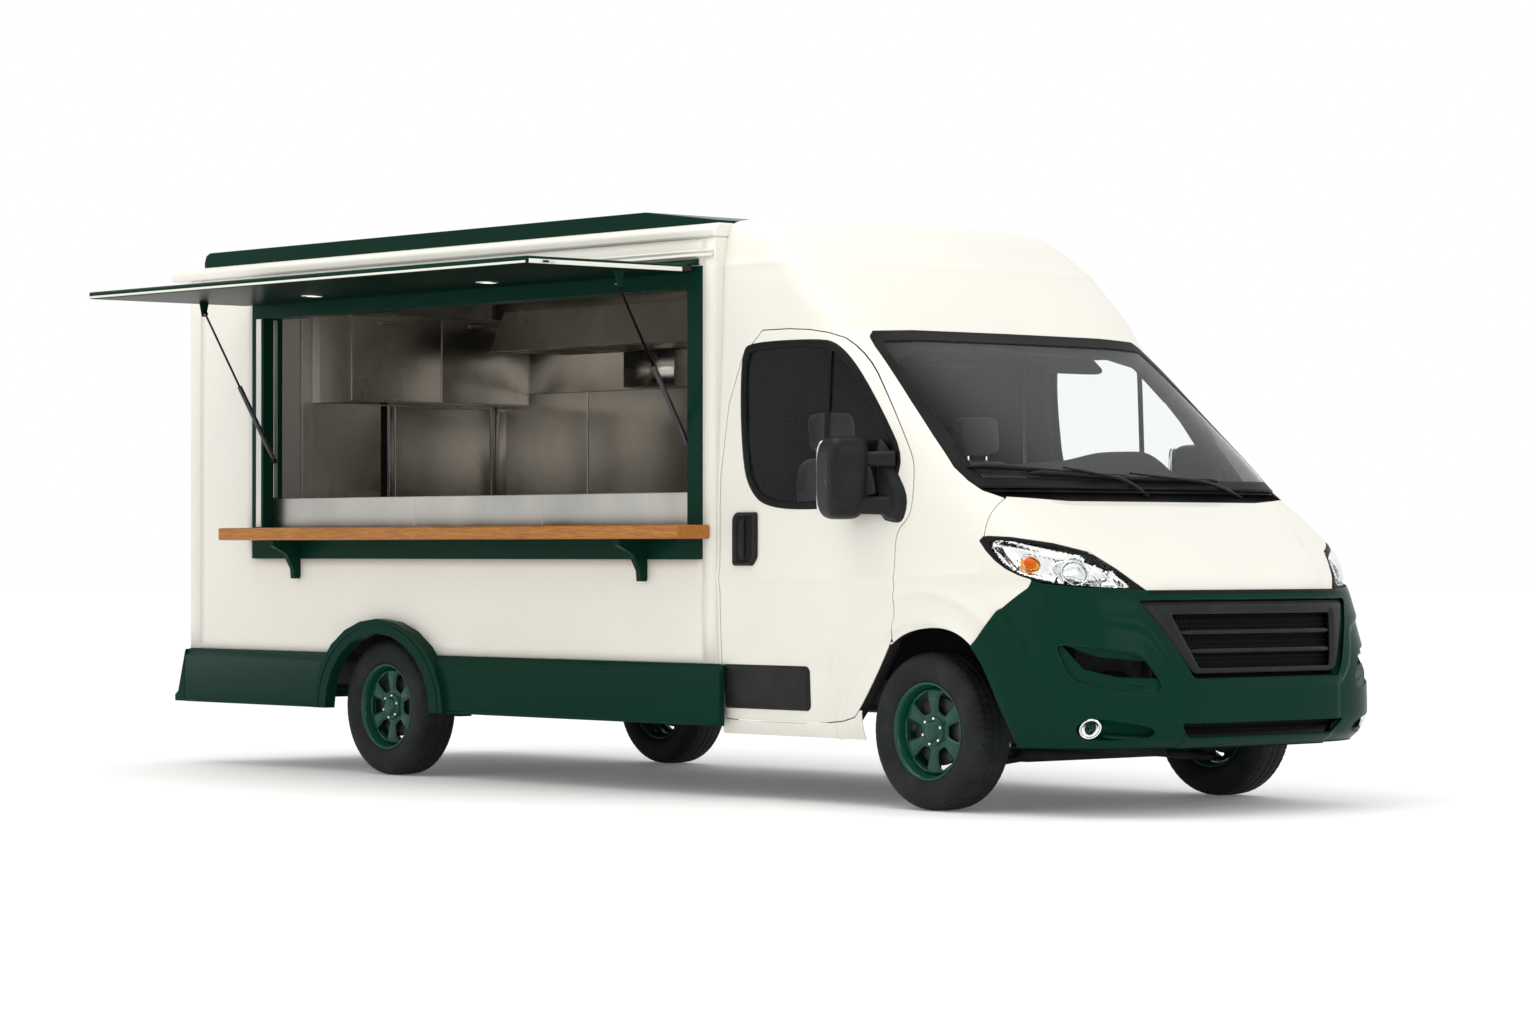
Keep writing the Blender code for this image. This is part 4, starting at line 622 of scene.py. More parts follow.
CAB_MIDDLE = np.array((-0.6, 0.0, 1.2))
SIDES = (("right", -1.0), ("left", 1.0))
DOOR_OUTLINE = (
    (-1.362, 2.155), (-0.66, 2.155), (-0.435, 2.015), (-0.25, 1.80), (-0.085, 1.575), (-0.06, 1.50),
    (-0.06, 1.36), (-0.085, 1.29), (-0.16, 1.235), (-0.175, 1.15), (-0.18, 0.80), (-0.215, 0.72),
    (-0.40, 0.46), (-0.50, 0.365), (-1.34, 0.365), (-1.362, 0.385),
)
DOOR_WINDOW = (
    (-1.225, 2.05), (-1.18, 2.09), (-0.70, 2.09), (-0.60, 2.065), (-0.467, 1.955), (-0.28, 1.74),
    (-0.135, 1.545), (-0.22, 1.42), (-0.34, 1.36), (-0.82, 1.343), (-1.05, 1.365), (-1.14, 1.43),
    (-1.19, 1.53), (-1.225, 1.80),
)
FRONT_ARCH = (
    (-0.405, 0.20), (-0.410, 0.295), (-0.414, 0.40), (-0.405, 0.47), (-0.355, 0.57), (-0.27, 0.67),
    (-0.17, 0.755), (-0.06, 0.795), (0.08, 0.81), (0.20, 0.80), (0.30, 0.755), (0.38, 0.67),
    (0.455, 0.52), (0.53, 0.36), (0.58, 0.20),
)
GLASS_EDGE = (
    (0.0, 1.345), (0.57, 1.347), (0.807, 1.355), (0.895, 1.372), (0.940, 1.405), (0.955, 1.450),
    (0.962, 1.510), (0.948, 1.650), (0.926, 1.810), (0.902, 1.960), (0.886, 2.060), (0.872, 2.110),
    (0.835, 2.138), (0.60, 2.148), (0.0, 2.150),
)
BONNET_EDGE = ((0.60, 1.360), (0.91, 1.380))
BONNET_SIDE_X, NOSE_SPLIT = 0.385, 0.968
LAMP_TOP_EDGE = (
    (-0.488, 1.212), (-0.335, 1.204), (-0.155, 1.178), (0.003, 1.139), (0.115, 1.070), (0.25, 0.972),
)
LAMP_LOW_EDGE = ((0.16, 0.972), (-0.02, 0.984), (-0.20, 1.006), (-0.335, 1.049), (-0.425, 1.118))
BUMPER_SIDE = ((0.30, 0.30), (0.30, 0.70), (0.327, 0.736), (0.46, 0.88), (0.60, 0.985), (0.64, 1.05))


def grown(outline, distance):
    """A closed outline moved outwards, each corner along the middle of its two sides' normals."""
    outline = np.asarray(outline, float)
    before, after = np.roll(outline, 1, axis=0), np.roll(outline, -1, axis=0)
    area = np.sum(outline[:, 0] * after[:, 1] - after[:, 0] * outline[:, 1])
    side = 1.0 if area > 0 else -1.0

    def normal(run):
        run = unit(run)
        return np.stack((run[:, 1], -run[:, 0]), 1) * side

    one, two = normal(outline - before), normal(after - outline)
    middle = unit(one + two)
    return outline + middle * (distance / np.maximum(np.sum(middle * one, axis=1), 0.35))[:, None]


door_edge = dense(softened(DOOR_OUTLINE, 2))
window_edge = dense(softened(DOOR_WINDOW, 2))
arch_on_skin = on_skin(np.clip(dense(softened(FRONT_ARCH, 2)), (-1.3, 0.3001), (1.1, 3.0)), 0)
lamp_on_skin = on_skin(dense(softened(LAMP_TOP_EDGE + LAMP_LOW_EDGE, 1), 0.008), 45)
lamp_low = on_skin(dense(LAMP_LOW_EDGE, 0.01, closed=False), 45)
lamp_top = on_skin(dense(LAMP_TOP_EDGE, 0.01, closed=False), 45)
bumper_side = on_skin(dense(BUMPER_SIDE, 0.01, closed=False), 0)


def across_both(right_line):
    """A line on the right skin, carried on by its mirror image on the left."""
    right_line = np.asarray(right_line)
    return np.vstack((right_line, flipped(right_line[::-1])))


below, top = -0.03, CLIMBS[-1]
nose_lines = across_both(np.vstack((lamp_low[::-1], ((lamp_low[0, 0] - 0.09, climb_at(NOSE_SPLIT)),))))
above_nose = np.vstack((nose_lines, ((-1.6, climb_at(1.30)), (1.6, climb_at(1.30)))))
bumper_on_skin = np.vstack((
    ((bumper_side[0, 0], below),), bumper_side, flipped(bumper_side[::-1]), ((-bumper_side[0, 0], below),),
))
bonnet_side = on_skin(dense(((BONNET_SIDE_X, 1.19), (BONNET_SIDE_X, 1.378)), 0.01, closed=False), 0)
bonnet_rear = on_skin(dense([(-y, z) for y, z in reversed(BONNET_EDGE)], 0.01, closed=False), 90)
bonnet_half = np.vstack((bonnet_side, bonnet_rear[1:]))
bonnet_lamp = lamp_top[lamp_top[:, 0] < bonnet_side[0, 0]]
bonnet_on_skin = dense(np.vstack((
    bonnet_lamp[::-1], bonnet_half, flipped(bonnet_half[::-1]), flipped(bonnet_lamp),
)), 0.012)


def glass_outline(foot=1.0, gap=0.0):
    """The opening between the pillars, drawn from the front, as much of it as lies above its foot."""
    right = np.array(GLASS_EDGE) * (-1.0, 1.0)
    whole = grown(np.vstack((right, flipped(right[-2:0:-1]))), gap)
    return on_skin(dense(np.maximum(whole, (-9.0, foot))), 90)


def past_arch(x, z):
    """How far a place lies outside the front wheel's arch, as a share of the arch's size."""
    return np.hypot(x / 0.545, (z - 0.26) / 0.555) - 1.0


def cab_relief(places, gaps):
    """Pressed lines: a crease at belt height, a lip and a swell round the front wheel, a roof moulding."""
    x, z = places[:, 0], places[:, 2]
    belt = 1.020 + 0.025 * np.clip((x + 0.3) / 0.7, 0.0, 1.0)
    crease = 0.011 * np.exp(-np.abs(z - belt) / 0.036) * (x < 0.36) * (x > -1.6)
    arch = past_arch(x, z)
    lip = 0.013 * np.exp(-((arch - 0.040) / 0.042) ** 2) * (z < 0.99) * (x > -0.75) * (x < 0.60)
    swell = 0.011 * np.exp(-((arch - 0.27) / 0.045) ** 2) * (z < 1.0) * (x > -0.6) * (x < 0.45)
    roof = 0.006 * np.exp(-((z - 2.47) / 0.02) ** 2) * (x < -0.6)
    return crease + lip + swell + roof


shell_outer = dense(four_corners(-GIRTH, 0.0, GIRTH, top), 0.02)
door_hole = on_skin(grown(door_edge, SHUT_LINE), 0)
cab_panel(
    "cab_body_skin", [shell_outer],
    [door_hole, flipped(door_hole), arch_on_skin, flipped(arch_on_skin),
     bumper_on_skin, grown(bonnet_on_skin, SHUT_LINE), lamp_on_skin, flipped(lamp_on_skin),
     glass_outline()],
    CREAM, relief=cab_relief,
)


# Cab structure.
# Under the outer panels is the welded frame of the cab: wheel housings, door frames, sills, floor.
# It is spot-welded sheet steel in dull dark primer, and shows at the shut lines and in doorways.

def moulded_grain_group():
    """Colour, roughness and normal of a moulded surface: cloudy tone, dust and fine grain."""
    tree, ins, outs = new_group(
        "moulded grain",
        [("Color", "Color", (0.1, 0.1, 0.1, 1.0)), ("Roughness", "Float", 0.5), ("Grain", "Float", 900.0),
         ("Depth", "Float", 0.15), ("Dust", "Float", 0.1)], SURFACE,
    )
    tone = toned(tree, ins.outputs["Color"], ranged(tree, noise(tree, 3.5, 4.0), 0.3, 0.75, 0.82, 1.15))
    cloud = ranged(tree, noise(tree, 9.0, 6.0), 0.45, 0.8, 0.0, 1.0)
    dust = maths(tree, "MULTIPLY", cloud, ins.outputs["Dust"])
    grain = noise(tree, 900.0, 2.0)
    link(tree, ins.outputs["Grain"], grain.node.inputs["Scale"])
    return hand_out(
        tree, outs, Color=blend_colours(tree, dust, tone, (0.22, 0.21, 0.19)),
        Roughness=maths(tree, "ADD", ins.outputs["Roughness"], dust),
        Normal=bumped(tree, grain, ins.outputs["Depth"], 0.0008),
    )


MOULDED = moulded_grain_group()


def moulded_finish(name, colour, roughness, grain=900.0, depth=0.15, dust=0.1, gloss=0.16, metal=0.0):
    """Moulded plastic, rubber, primer or coated metal; its grain's depth is a share of full relief."""
    plain = {"Specular IOR Level": gloss, "Metallic": metal}
    return new_finish(name, MOULDED, plain, Color=colour, Roughness=roughness, Grain=grain, Depth=depth,
                      Dust=dust)


PRIMER = moulded_finish("dark primer", (0.011, 0.012, 0.012), 0.65, 300.0, 0.08, 0.04, 0.1)


def joined_copy(node, finish, width=0.0, inset=0.0, segments=2, soft_below=38.0):
    """A CAD node's own form, its loose triangles joined, that stands for the node.

    Every corner moves inwards along its normal by the inset, and each sharp edge is rounded.
    """
    source = frame["nodes"][node]
    work = bmesh.new()
    work.from_mesh(source.data)
    bmesh.ops.remove_doubles(work, verts=work.verts, dist=1e-5)
    if width:
        bmesh.ops.dissolve_limit(work, angle_limit=math.radians(0.6), verts=work.verts, edges=work.edges)
    mesh = bpy.data.meshes.new(node + "_form")
    work.to_mesh(mesh)
    work.free()
    places, normals = np.empty((2, len(mesh.vertices) * 3))
    mesh.vertices.foreach_get("co", places)
    mesh.vertex_normals.foreach_get("vector", normals)
    mesh.vertices.foreach_set("co", places - normals * inset)
    mesh.materials.clear()
    mesh.materials.append(finish)
    mesh.polygons.foreach_set("use_smooth", [True] * len(mesh.polygons))
    mesh.set_sharp_from_angle(angle=math.radians(soft_below))
    piece = bpy.data.objects.new(node + "_dressed", mesh)
    bpy.context.scene.collection.objects.link(piece)
    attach(piece, source["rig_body"])
    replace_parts(piece, node)
    if width:
        fold = piece.modifiers.new("rounded edges", "BEVEL")
        fold.width = width
        fold.segments = segments
        fold.limit_method = "ANGLE"
        fold.angle_limit = math.radians(soft_below)
        fold.harden_normals = True
    return piece


for name in ("cab_shell", "door_left", "door_right", "bonnet"):
    joined_copy(name, PRIMER, inset=0.004)


# Bonnet and doors.
# The bonnet and both doors are pressed steel skins hemmed over their frames and hung on hinges.
# Black rubber seals hold the tinted door windows, and a pillar divides each window. A black rubber
# lip along the gap between bonnet and bumper stands for the shade in that gap: painted shade.

WINDOW_POST = four_corners(-0.655, 1.33, -0.625, 2.085)
RUB_STRIP = (
    (-1.345, 0.418), (-0.765, 0.418), (-0.748, 0.436), (-0.748, 0.604), (-0.765, 0.622), (-1.345, 0.622),
)
HANDLE = (
    (-1.268, 1.075), (-1.125, 1.075), (-1.095, 1.115), (-1.095, 1.322), (-1.245, 1.322), (-1.268, 1.295),
)
LIP_DEPTH = 0.014


def smooth_step(value, low, high):
    """0 below the low value, 1 above the high one, and a soft S between them."""
    part = np.clip((value - low) / (high - low), 0.0, 1.0)
    return part * part * (3 - 2 * part)


def bonnet_relief(places, gaps):
    """A raised middle between two soft creases that run from the lamps to the windscreen's corners."""
    y, z = np.abs(places[:, 1]), places[:, 2]
    crease = np.interp(z, (0.97, 1.38), (0.50, 0.74))
    return 0.014 * smooth_step(crease - y, -0.022, 0.022) * smooth_step(gaps, 0.0, 0.06)


BLACK_PLASTIC = moulded_finish("black moulded plastic", (0.010, 0.011, 0.011), 0.40, 1100.0, 0.22, 0.04)
SEAL_RUBBER = moulded_finish("black seal rubber", (0.005, 0.006, 0.006), 0.45, 500.0, 0.06, 0.02, 0.1)


def glass_film_group():
    """Colour and roughness of a window: its tint, and a thin film of dust that dulls it in clouds."""
    tree, ins, outs = new_group(
        "glass film", [("Color", "Color", (0.8, 0.9, 0.9, 1.0)), ("Film", "Float", 0.03)], SURFACE[:2],
    )
    cloud = ranged(tree, noise(tree, 2.2, 5.0), 0.35, 0.8, 0.2, 1.0)
    film = maths(tree, "MULTIPLY", cloud, ins.outputs["Film"])
    colour = blend_colours(tree, film, ins.outputs["Color"], (0.7, 0.7, 0.68))
    return hand_out(tree, outs, Color=colour, Roughness=film)


GLASS_FILM = glass_film_group()


def glass_finish(name, tint, film):
    """Clear or tinted glass with as much dust film as given."""
    return new_finish(name, GLASS_FILM, {"Transmission Weight": 1.0, "IOR": 1.16}, Color=tint, Film=film)


DOOR_GLASS = glass_finish("tinted door glass", (0.93, 0.965, 0.965), 0.010)
CLEAR_GLASS = glass_finish("windscreen glass", (0.985, 0.995, 0.99), 0.003)

cab_panel("bonnet_skin", [bonnet_on_skin], [], CREAM, body="bonnet", relief=bonnet_relief)
# Painted shade: a black strip from lamp to lamp along the bonnet's foot, for the shadow in the gap.
lip_end = lamp_top[-1, 0]
nose_shade_lip = dense(four_corners(-lip_end, climb_at(NOSE_SPLIT - LIP_DEPTH), lip_end, climb_at(NOSE_SPLIT)))
cab_panel("nose_shade_lip", [nose_shade_lip], [], SEAL_RUBBER, lift=0.0160, spacing=0.006, thickness=0.004,
          slot="black_plastic")


def swollen(rise, width, dip=0.0):
    """A relief that rises from a panel's edge within a width, and may dip again towards its middle."""
    def relief(places, gaps):
        return rise * smooth_step(gaps, 0.0, width) - dip * smooth_step(gaps, 0.022, 0.036)
    return relief


for side, y in SIDES:
    way, body = (-y, 1.0), "door_" + side

    def door_part(part, outline, finish, dropped=(), slot="black_plastic", **shape):
        kept, dropped = on_skin(outline, 0) * way, [on_skin(hole, 0) * way for hole in dropped]
        return cab_panel(body + part, [kept], dropped, finish, body=body, slot=slot, **shape)

    door_part("_skin", door_edge, CREAM, [grown(window_edge, 0.006)], "cream_paint", relief=cab_relief)
    door_part("_window_seal", grown(window_edge, 0.016), SEAL_RUBBER, [grown(window_edge, -0.020)],
              lift=0.002, spacing=0.013, thickness=0.012, relief=swollen(0.004, 0.008))
    door_part("_window_post", dense(WINDOW_POST), SEAL_RUBBER, lift=0.001, spacing=0.010)
    pane = door_part("_window_glass", window_edge, DOOR_GLASS, slot="glass", lift=-0.006, spacing=0.03,
                     edge=0.0)
    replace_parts(pane, "door_glass_" + side)
    door_part("_rub_strip", dense(cornered(RUB_STRIP, 0.012)), BLACK_PLASTIC, lift=0.004, spacing=0.010,
              thickness=0.010, relief=swollen(0.010, 0.016))
    door_part("_handle_plate", dense(cornered(HANDLE, 0.014), 0.006), BLACK_PLASTIC, lift=0.006,
              spacing=0.007, thickness=0.012, relief=swollen(0.015, 0.010, dip=0.007))


# Handle grips.
# Each door is opened by a moulded grip that stands across the recess of its handle plate.
# It is black plastic, held by two hidden screws.

def ring_faces(rings, points, looped=False):
    """Quads between closed rings of points.

    Looped rings end where they began. Others are closed at either end by a fan of triangles, which
    meet in two more points that follow the rings.
    """
    ring, point = np.meshgrid(np.arange(rings if looped else rings - 1), np.arange(points), indexing="ij")
    after, above = (point + 1) % points, (ring + 1) % rings
    corners = (ring * points + point, ring * points + after, above * points + after, above * points + point)
    faces = np.stack(corners, 2).reshape(-1, 4).tolist()
    if looped:
        return faces
    single = np.arange(points)
    low = np.stack(((single + 1) % points, single, np.full(points, rings * points)), 1)
    high = low[:, ::-1].copy()
    high[:, 1:] += (rings - 1) * points
    high[:, 0] = rings * points + 1
    return faces + low.tolist() + high.tolist()


def skin_bar(name, line, turn, half_width, height, finish, lift=0.0, body="truck", slot="black_plastic",
             way=(1, 1)):
    """A bar that follows the cab's skin along a line, with tapered ends.

    Across the line it is half a superellipse as high as given, and its foot lies at the lift.
    """
    line = on_skin(dense(line, 0.02, closed=False), turn) * way
    run = unit(np.gradient(line, axis=0))
    across = np.stack((-run[:, 1], run[:, 0]), 1)
    along = np.linspace(0.0, 1.0, len(line))
    taper = np.clip(np.minimum(along, 1 - along) * len(line) / 2.5, 0.0, 1.0)[:, None] ** 0.5
    angles = np.linspace(0.0, math.pi, 9)
    flat = np.sign(np.cos(angles)) * np.abs(np.cos(angles)) ** 0.6
    points = line[:, None] + across[:, None] * (flat * half_width * (0.35 + 0.65 * taper))[..., None]
    lifts = lift + height * np.sin(angles) ** 0.7 * (0.3 + 0.7 * taper)
    places = cab_skin(points[..., 0].ravel(), points[..., 1].ravel(), lifts.ravel())
    rings = places.reshape(len(line), len(angles), 3)
    places = np.vstack((places, rings[0].mean(axis=0), rings[-1].mean(axis=0)))
    return new_piece(name, places, ring_faces(*rings.shape[:2]), finish, body, slot, closed=True)


for side, y in SIDES:
    skin_bar("door_" + side + "_grip", ((-1.185, 1.095), (-1.185, 1.30)), 0, 0.018, 0.018, BLACK_PLASTIC,
             lift=0.014, body="door_" + side, way=(-y, 1.0))


# Windscreen, cowl and wipers.
# The bonded laminated windscreen has a black printed border. Under it lies the black moulded cowl,
# and two wipers, parked along the glass's foot, come out of it on steel arms.

GLASS_FOOT, BORDER_FOOT, BORDER_WIDTH = 1.418, 1.462, 0.052
SKEW = (0.31, 0.22, 0.92)  # a direction that no tube runs in

screen = cab_panel("windscreen_glass", [glass_outline(GLASS_FOOT)], [], CLEAR_GLASS, lift=0.0, spacing=0.03,
                   slot="glass", edge=0.0)
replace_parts(screen, "windscreen")
cab_panel("windscreen_border", [glass_outline(GLASS_FOOT, 0.004)],
          [glass_outline(BORDER_FOOT, -BORDER_WIDTH)], SEAL_RUBBER, lift=0.0016, thickness=0.001,
          slot="black_plastic", edge=0.0)
joined_copy("cowl", BLACK_PLASTIC, width=0.002)


def tube(path, radii, sides=12):
    """A round tube along a path: rings of points square to its run, and a middle point at each end."""
    path = np.asarray(path, float)
    run = unit(np.gradient(path, axis=0))
    across = unit(np.cross(run, SKEW))
    up = np.cross(across, run)
    angles = np.linspace(0.0, math.tau, sides, endpoint=False)[None, :, None]
    spokes = across[:, None] * np.cos(angles) + up[:, None] * np.sin(angles)
    rings = path[:, None] + spokes * np.broadcast_to(radii, len(path))[:, None, None]
    return np.vstack((rings.reshape(-1, 3), path[:1], path[-1:])), ring_faces(len(path), sides)


def curve_through(points, count):
    """A smooth path of a given number of points through a few places, by the same eased curve."""
    points = np.asarray(points, float)
    return eased(np.linspace(0.0, len(points) - 1.0, count), np.arange(len(points), dtype=float), points)


WIPER_STEEL = moulded_finish("black coated steel", (0.012, 0.012, 0.013), 0.35, 400.0, 0.04, 0.04)
part = np.linspace(0.0, 1.0, 24)
arm_lifts = -0.035 + 0.068 * np.sin(np.minimum(part * 2.2, 1.0) * math.pi / 2)
for side, blade, pivot in (
    ("right", ((-0.93, 1.507), (-0.50, 1.482), (-0.08, 1.462)), (-0.02, 1.412)),
    ("left", ((-0.70, 1.478), (-0.10, 1.455), (0.46, 1.452)), (0.60, 1.412)),
):
    skin_bar("wiper_blade_" + side, blade, 90, 0.008, 0.022, WIPER_STEEL, lift=0.004)
    foot, tip = on_skin((pivot, np.mean(blade, axis=0) + (0.0, 0.004)), 90)
    route = foot + (tip - foot) * part[:, None]
    places, faces = tube(cab_skin(route[:, 0], route[:, 1], arm_lifts), 0.011 - 0.006 * part)
    new_piece("wiper_arm_" + side, places, faces, WIPER_STEEL, slot="black_plastic", closed=True)


# Front bumper and grille.
# The green bumper is one big moulding, painted, with cooling slots and a scoop in each corner. The
# grille is a black moulded frame with thin bars and a dark mesh, clipped into the bumper's opening.

CORNER_CREASE = (
    (-0.202, 0.892), (-0.152, 0.871), (-0.039, 0.851), (0.201, 0.808), (0.251, 0.780), (0.300, 0.716),
    (0.364, 0.623), (0.414, 0.562), (0.80, 0.556),
)
SIDE_CREASE = (
    (0.30, -0.200), (0.524, -0.216), (0.637, -0.238), (0.757, -0.280), (0.856, -0.345), (1.0, -0.46),
)
SCOOP = (
    (-0.135, 0.744), (-0.011, 0.735), (0.151, 0.710), (0.222, 0.696), (0.264, 0.646), (0.307, 0.580),
    (0.305, 0.545), (0.264, 0.533), (0.059, 0.555), (-0.039, 0.576), (-0.089, 0.618), (-0.131, 0.709),
)
FOG_SLOT = (
    (-0.057, 0.395), (-0.011, 0.424), (0.06, 0.428), (0.29, 0.391), (0.27, 0.340), (0.017, 0.334),
    (-0.045, 0.352),
)
LOW_SLOT = ((-0.46, 0.345), (0.46, 0.345), (0.52, 0.405), (-0.52, 0.405))
GRILLE_HOLE = ((-0.460, 0.592), (0.460, 0.592), (0.660, 0.930), (-0.660, 0.930))
GRILLE_FRAME = ((-0.452, 0.616), (0.452, 0.616), (0.655, 0.926), (-0.655, 0.926))
GRILLE_OPENING = ((-0.417, 0.640), (0.417, 0.640), (0.505, 0.872), (-0.505, 0.872))
SCOOP_BLADE = ((0.10, 0.585), (0.20, 0.576), (0.30, 0.566))
FOG_BLADE = ((0.055, 0.350), (0.15, 0.343), (0.262, 0.338))


def across_corner(places):
    """How far right a place stands in the view from the nearer front corner."""
    return (places[:, 0] - np.abs(places[:, 1])) * math.sqrt(0.5)


def bumper_relief(places, gaps):
    """Raised fields of the moulding, each a soft step across its crease.

    It stands out above the corner crease and round the grille, and swells behind the side crease.
    The low middle panel is proud between two upright edges, and a lip runs round the wheel.
    """
    x, y, z = places[:, 0], np.abs(places[:, 1]), places[:, 2]
    corner = across_corner(places)
    over = (z - np.interp(corner, *np.transpose(CORNER_CREASE))) * np.where(corner > 0.22, 0.62, 1.0)
    upper = 0.012 * smooth_step(over, -0.006, 0.016) * smooth_step(corner, -0.26, -0.16)
    behind = np.interp(z, *np.transpose(SIDE_CREASE)) - corner
    side = 0.014 * smooth_step(behind, -0.010, 0.016) * smooth_step(z, 0.34, 0.56)
    middle = 0.005 * smooth_step(0.475 - y, -0.006, 0.006) * (z < 0.60)
    lip = 0.008 * np.exp(-((past_arch(x, z) - 0.03) / 0.05) ** 2) * (x < 0.62)
    return upper + side + middle + lip


scoop_hole, fog_hole = (on_skin(dense(softened(outline, 2), 0.008), 45) for outline in (SCOOP, FOG_SLOT))
grille_hole, low_slot = (on_skin(dense(cornered(outline, 0.028)), 90) for outline in (GRILLE_HOLE, LOW_SLOT))
cab_panel("bumper_skin", [bumper_on_skin],
          [above_nose, arch_on_skin, flipped(arch_on_skin), scoop_hole, flipped(scoop_hole),
           fog_hole, flipped(fog_hole), grille_hole, low_slot],
          GREEN, spacing=0.011, slot="green_paint", relief=bumper_relief, edge=0.0025)
joined_copy("front_bumper", GREEN, inset=0.004)
for side, y in SIDES:
    skin_bar("scoop_blade_" + side, SCOOP_BLADE, 45, 0.008, 0.010, GREEN, -0.016, slot="green_paint",
             way=(-y, 1.0))
    skin_bar("fog_blade_" + side, FOG_BLADE, 45, 0.009, 0.016, GREEN, -0.014, slot="green_paint",
             way=(-y, 1.0))

grille_frame = cab_panel(
    "grille_frame", [on_skin(dense(cornered(GRILLE_FRAME, 0.025)), 90)],
    [on_skin(dense(cornered(GRILLE_OPENING, 0.008)), 90)], BLACK_PLASTIC,
    lift=-0.004, spacing=0.010, thickness=0.016, slot="black_plastic",
    relief=swollen(0.012, 0.022),
)
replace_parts(grille_frame, "grille")


def waves(tree, direction, scale, distortion=0.0):
    """A wave texture on Object coordinates along one direction; gives its value socket."""
    coordinates = tree.nodes.new("ShaderNodeTexCoord")
    texture = tree.nodes.new("ShaderNodeTexWave")
    texture.bands_direction = direction
    texture.inputs["Distortion"].default_value = distortion
    link(tree, coordinates.outputs["Object"], texture.inputs["Vector"])
    link(tree, scale, texture.inputs["Scale"])
    return texture.outputs["Fac"]


def mesh_group():
    """Colour and normal of a moulded mesh: upright and level ribs from two waves, with painted shade between
    them.
    """
    tree, ins, outs = new_group("rib mesh with painted shade", [("Pitch", "Float", 14.0)], [SURFACE[0], SURFACE[2]])
    ribs = [ranged(tree, waves(tree, way, ins.outputs["Pitch"]), 0.80, 0.95, 0.0, 1.0) for way in "YZ"]
    mask = maths(tree, "MAXIMUM", *ribs)
    # Painted shade: the openings between the ribs are darker than the ribs.
    colour = blend_colours(tree, mask, (0.001, 0.001, 0.001), (0.008, 0.009, 0.009))
    return hand_out(tree, outs, Color=colour, Normal=bumped(tree, mask, 1.0, 0.004))


GRILLE_MESH = new_finish("grille mesh", mesh_group(), {"Specular IOR Level": 0.05, "Roughness": 0.6})
cab_panel("grille_mesh", [on_skin(dense(grown(GRILLE_FRAME, -0.01)), 90)], [], GRILLE_MESH, lift=-0.034,
          spacing=0.03, slot="black_plastic", edge=0.0)
for number, (height, half) in enumerate(((0.715, 0.452), (0.795, 0.484))):
    skin_bar("grille_bar_%d" % (number + 1), ((-half, height), (half, height)), 90, 0.011, 0.016,
             BLACK_PLASTIC, lift=-0.016)
# Painted shade: a recessed black strip across the nose under the bonnet, for the shadow in the gap.
cab_panel("nose_shade_seal", [on_skin(dense(four_corners(-0.60, 0.955, 0.60, 0.985)), 90)], [], SEAL_RUBBER,
          lift=-0.008, slot="black_plastic", edge=0.0)


# Headlamps and fog lamps.
# Each headlamp is a clear moulded cover over a silvered housing, with an amber bulb and a round
# main lamp in their dishes, set in a black gasket. Each fog lamp is a small sealed reflector lamp
# in a chromed ring.

LENS_OUTLINE = (
    (-0.443, 1.197), (-0.252, 1.175), (-0.053, 1.139), (0.061, 1.103), (0.132, 1.040), (0.195, 0.984),
    (0.089, 0.987), (-0.124, 1.002), (-0.245, 1.024), (-0.316, 1.050), (-0.388, 1.108),
)
MAIN_LAMP = (-0.055, 1.063)
DISH, DISH_HALF = (-0.030, 1.063), (0.130, 0.070)
AMBER_CUP, CUP_HALF = (-0.270, 1.092), (0.050, 0.044)
FOG_CENTRE, FOG_RADIUS = (0.006, 0.382), 0.045


def turned(profile, steps=48, looped=False):
    """A form turned about its own axis: each profile point (radius, height) carried round a circle.

    Its places are (across, up, height), to be set on a surface by its axes.
    """
    profile = np.asarray(profile, float)
    angles = np.linspace(0.0, math.tau, steps, endpoint=False)
    radius, height = profile[:, :1], profile[:, 1:]
    rings = np.stack((radius * np.cos(angles), radius * np.sin(angles), height + 0 * angles), 2)
    places = rings.reshape(-1, 3)
    if not looped:
        places = np.vstack((places, (0.0, 0.0, profile[0, 1]), (0.0, 0.0, profile[-1, 1])))
    return places, ring_faces(len(profile), steps, looped)


def skin_axes(at, turn, way=1.0):
    """The place on the cab's skin, with the directions along it, up it and out of it, as columns."""
    girth, climb = on_skin((at,), turn)[0]
    step = 0.01
    girths = np.array((0.0, step, -step, 0.0, 0.0)) + girth
    climbs = np.array((0.0, 0.0, 0.0, step, -step)) + climb
    here, ahead, behind, above, below = cab_place(girths * way, climbs)
    along, up = unit(ahead - behind), unit(above - below)
    out = np.cross(up, along) * -way
    out *= np.sign(np.dot(out, here - CAB_HEART))
    return here, np.stack((along, up, out), 1)


def set_on(local, place, axes):
    """Local places turned onto the three axes and moved to their place."""
    return place + np.asarray(local) @ np.asarray(axes).T


def silvered_group():
    """Colour, roughness and normal of silvered plastic: faint haze in clouds, and fine flutes."""
    tree, ins, outs = new_group(
        "silvered", [("Color", "Color", (0.9, 0.9, 0.9, 1.0)), ("Flutes", "Float", 24.0)], SURFACE,
    )
    haze = noise(tree, 14.0, 4.0)
    dull = ranged(tree, haze, 0.4, 0.8, 0.0, 0.25)
    return hand_out(
        tree, outs, Color=blend_colours(tree, dull, ins.outputs["Color"], (0.5, 0.5, 0.5)),
        Roughness=ranged(tree, haze, 0.3, 0.8, 0.08, 0.26),
        Normal=bumped(tree, waves(tree, "DIAGONAL", ins.outputs["Flutes"]), 0.25, 0.002),
    )


SILVERED = silvered_group()


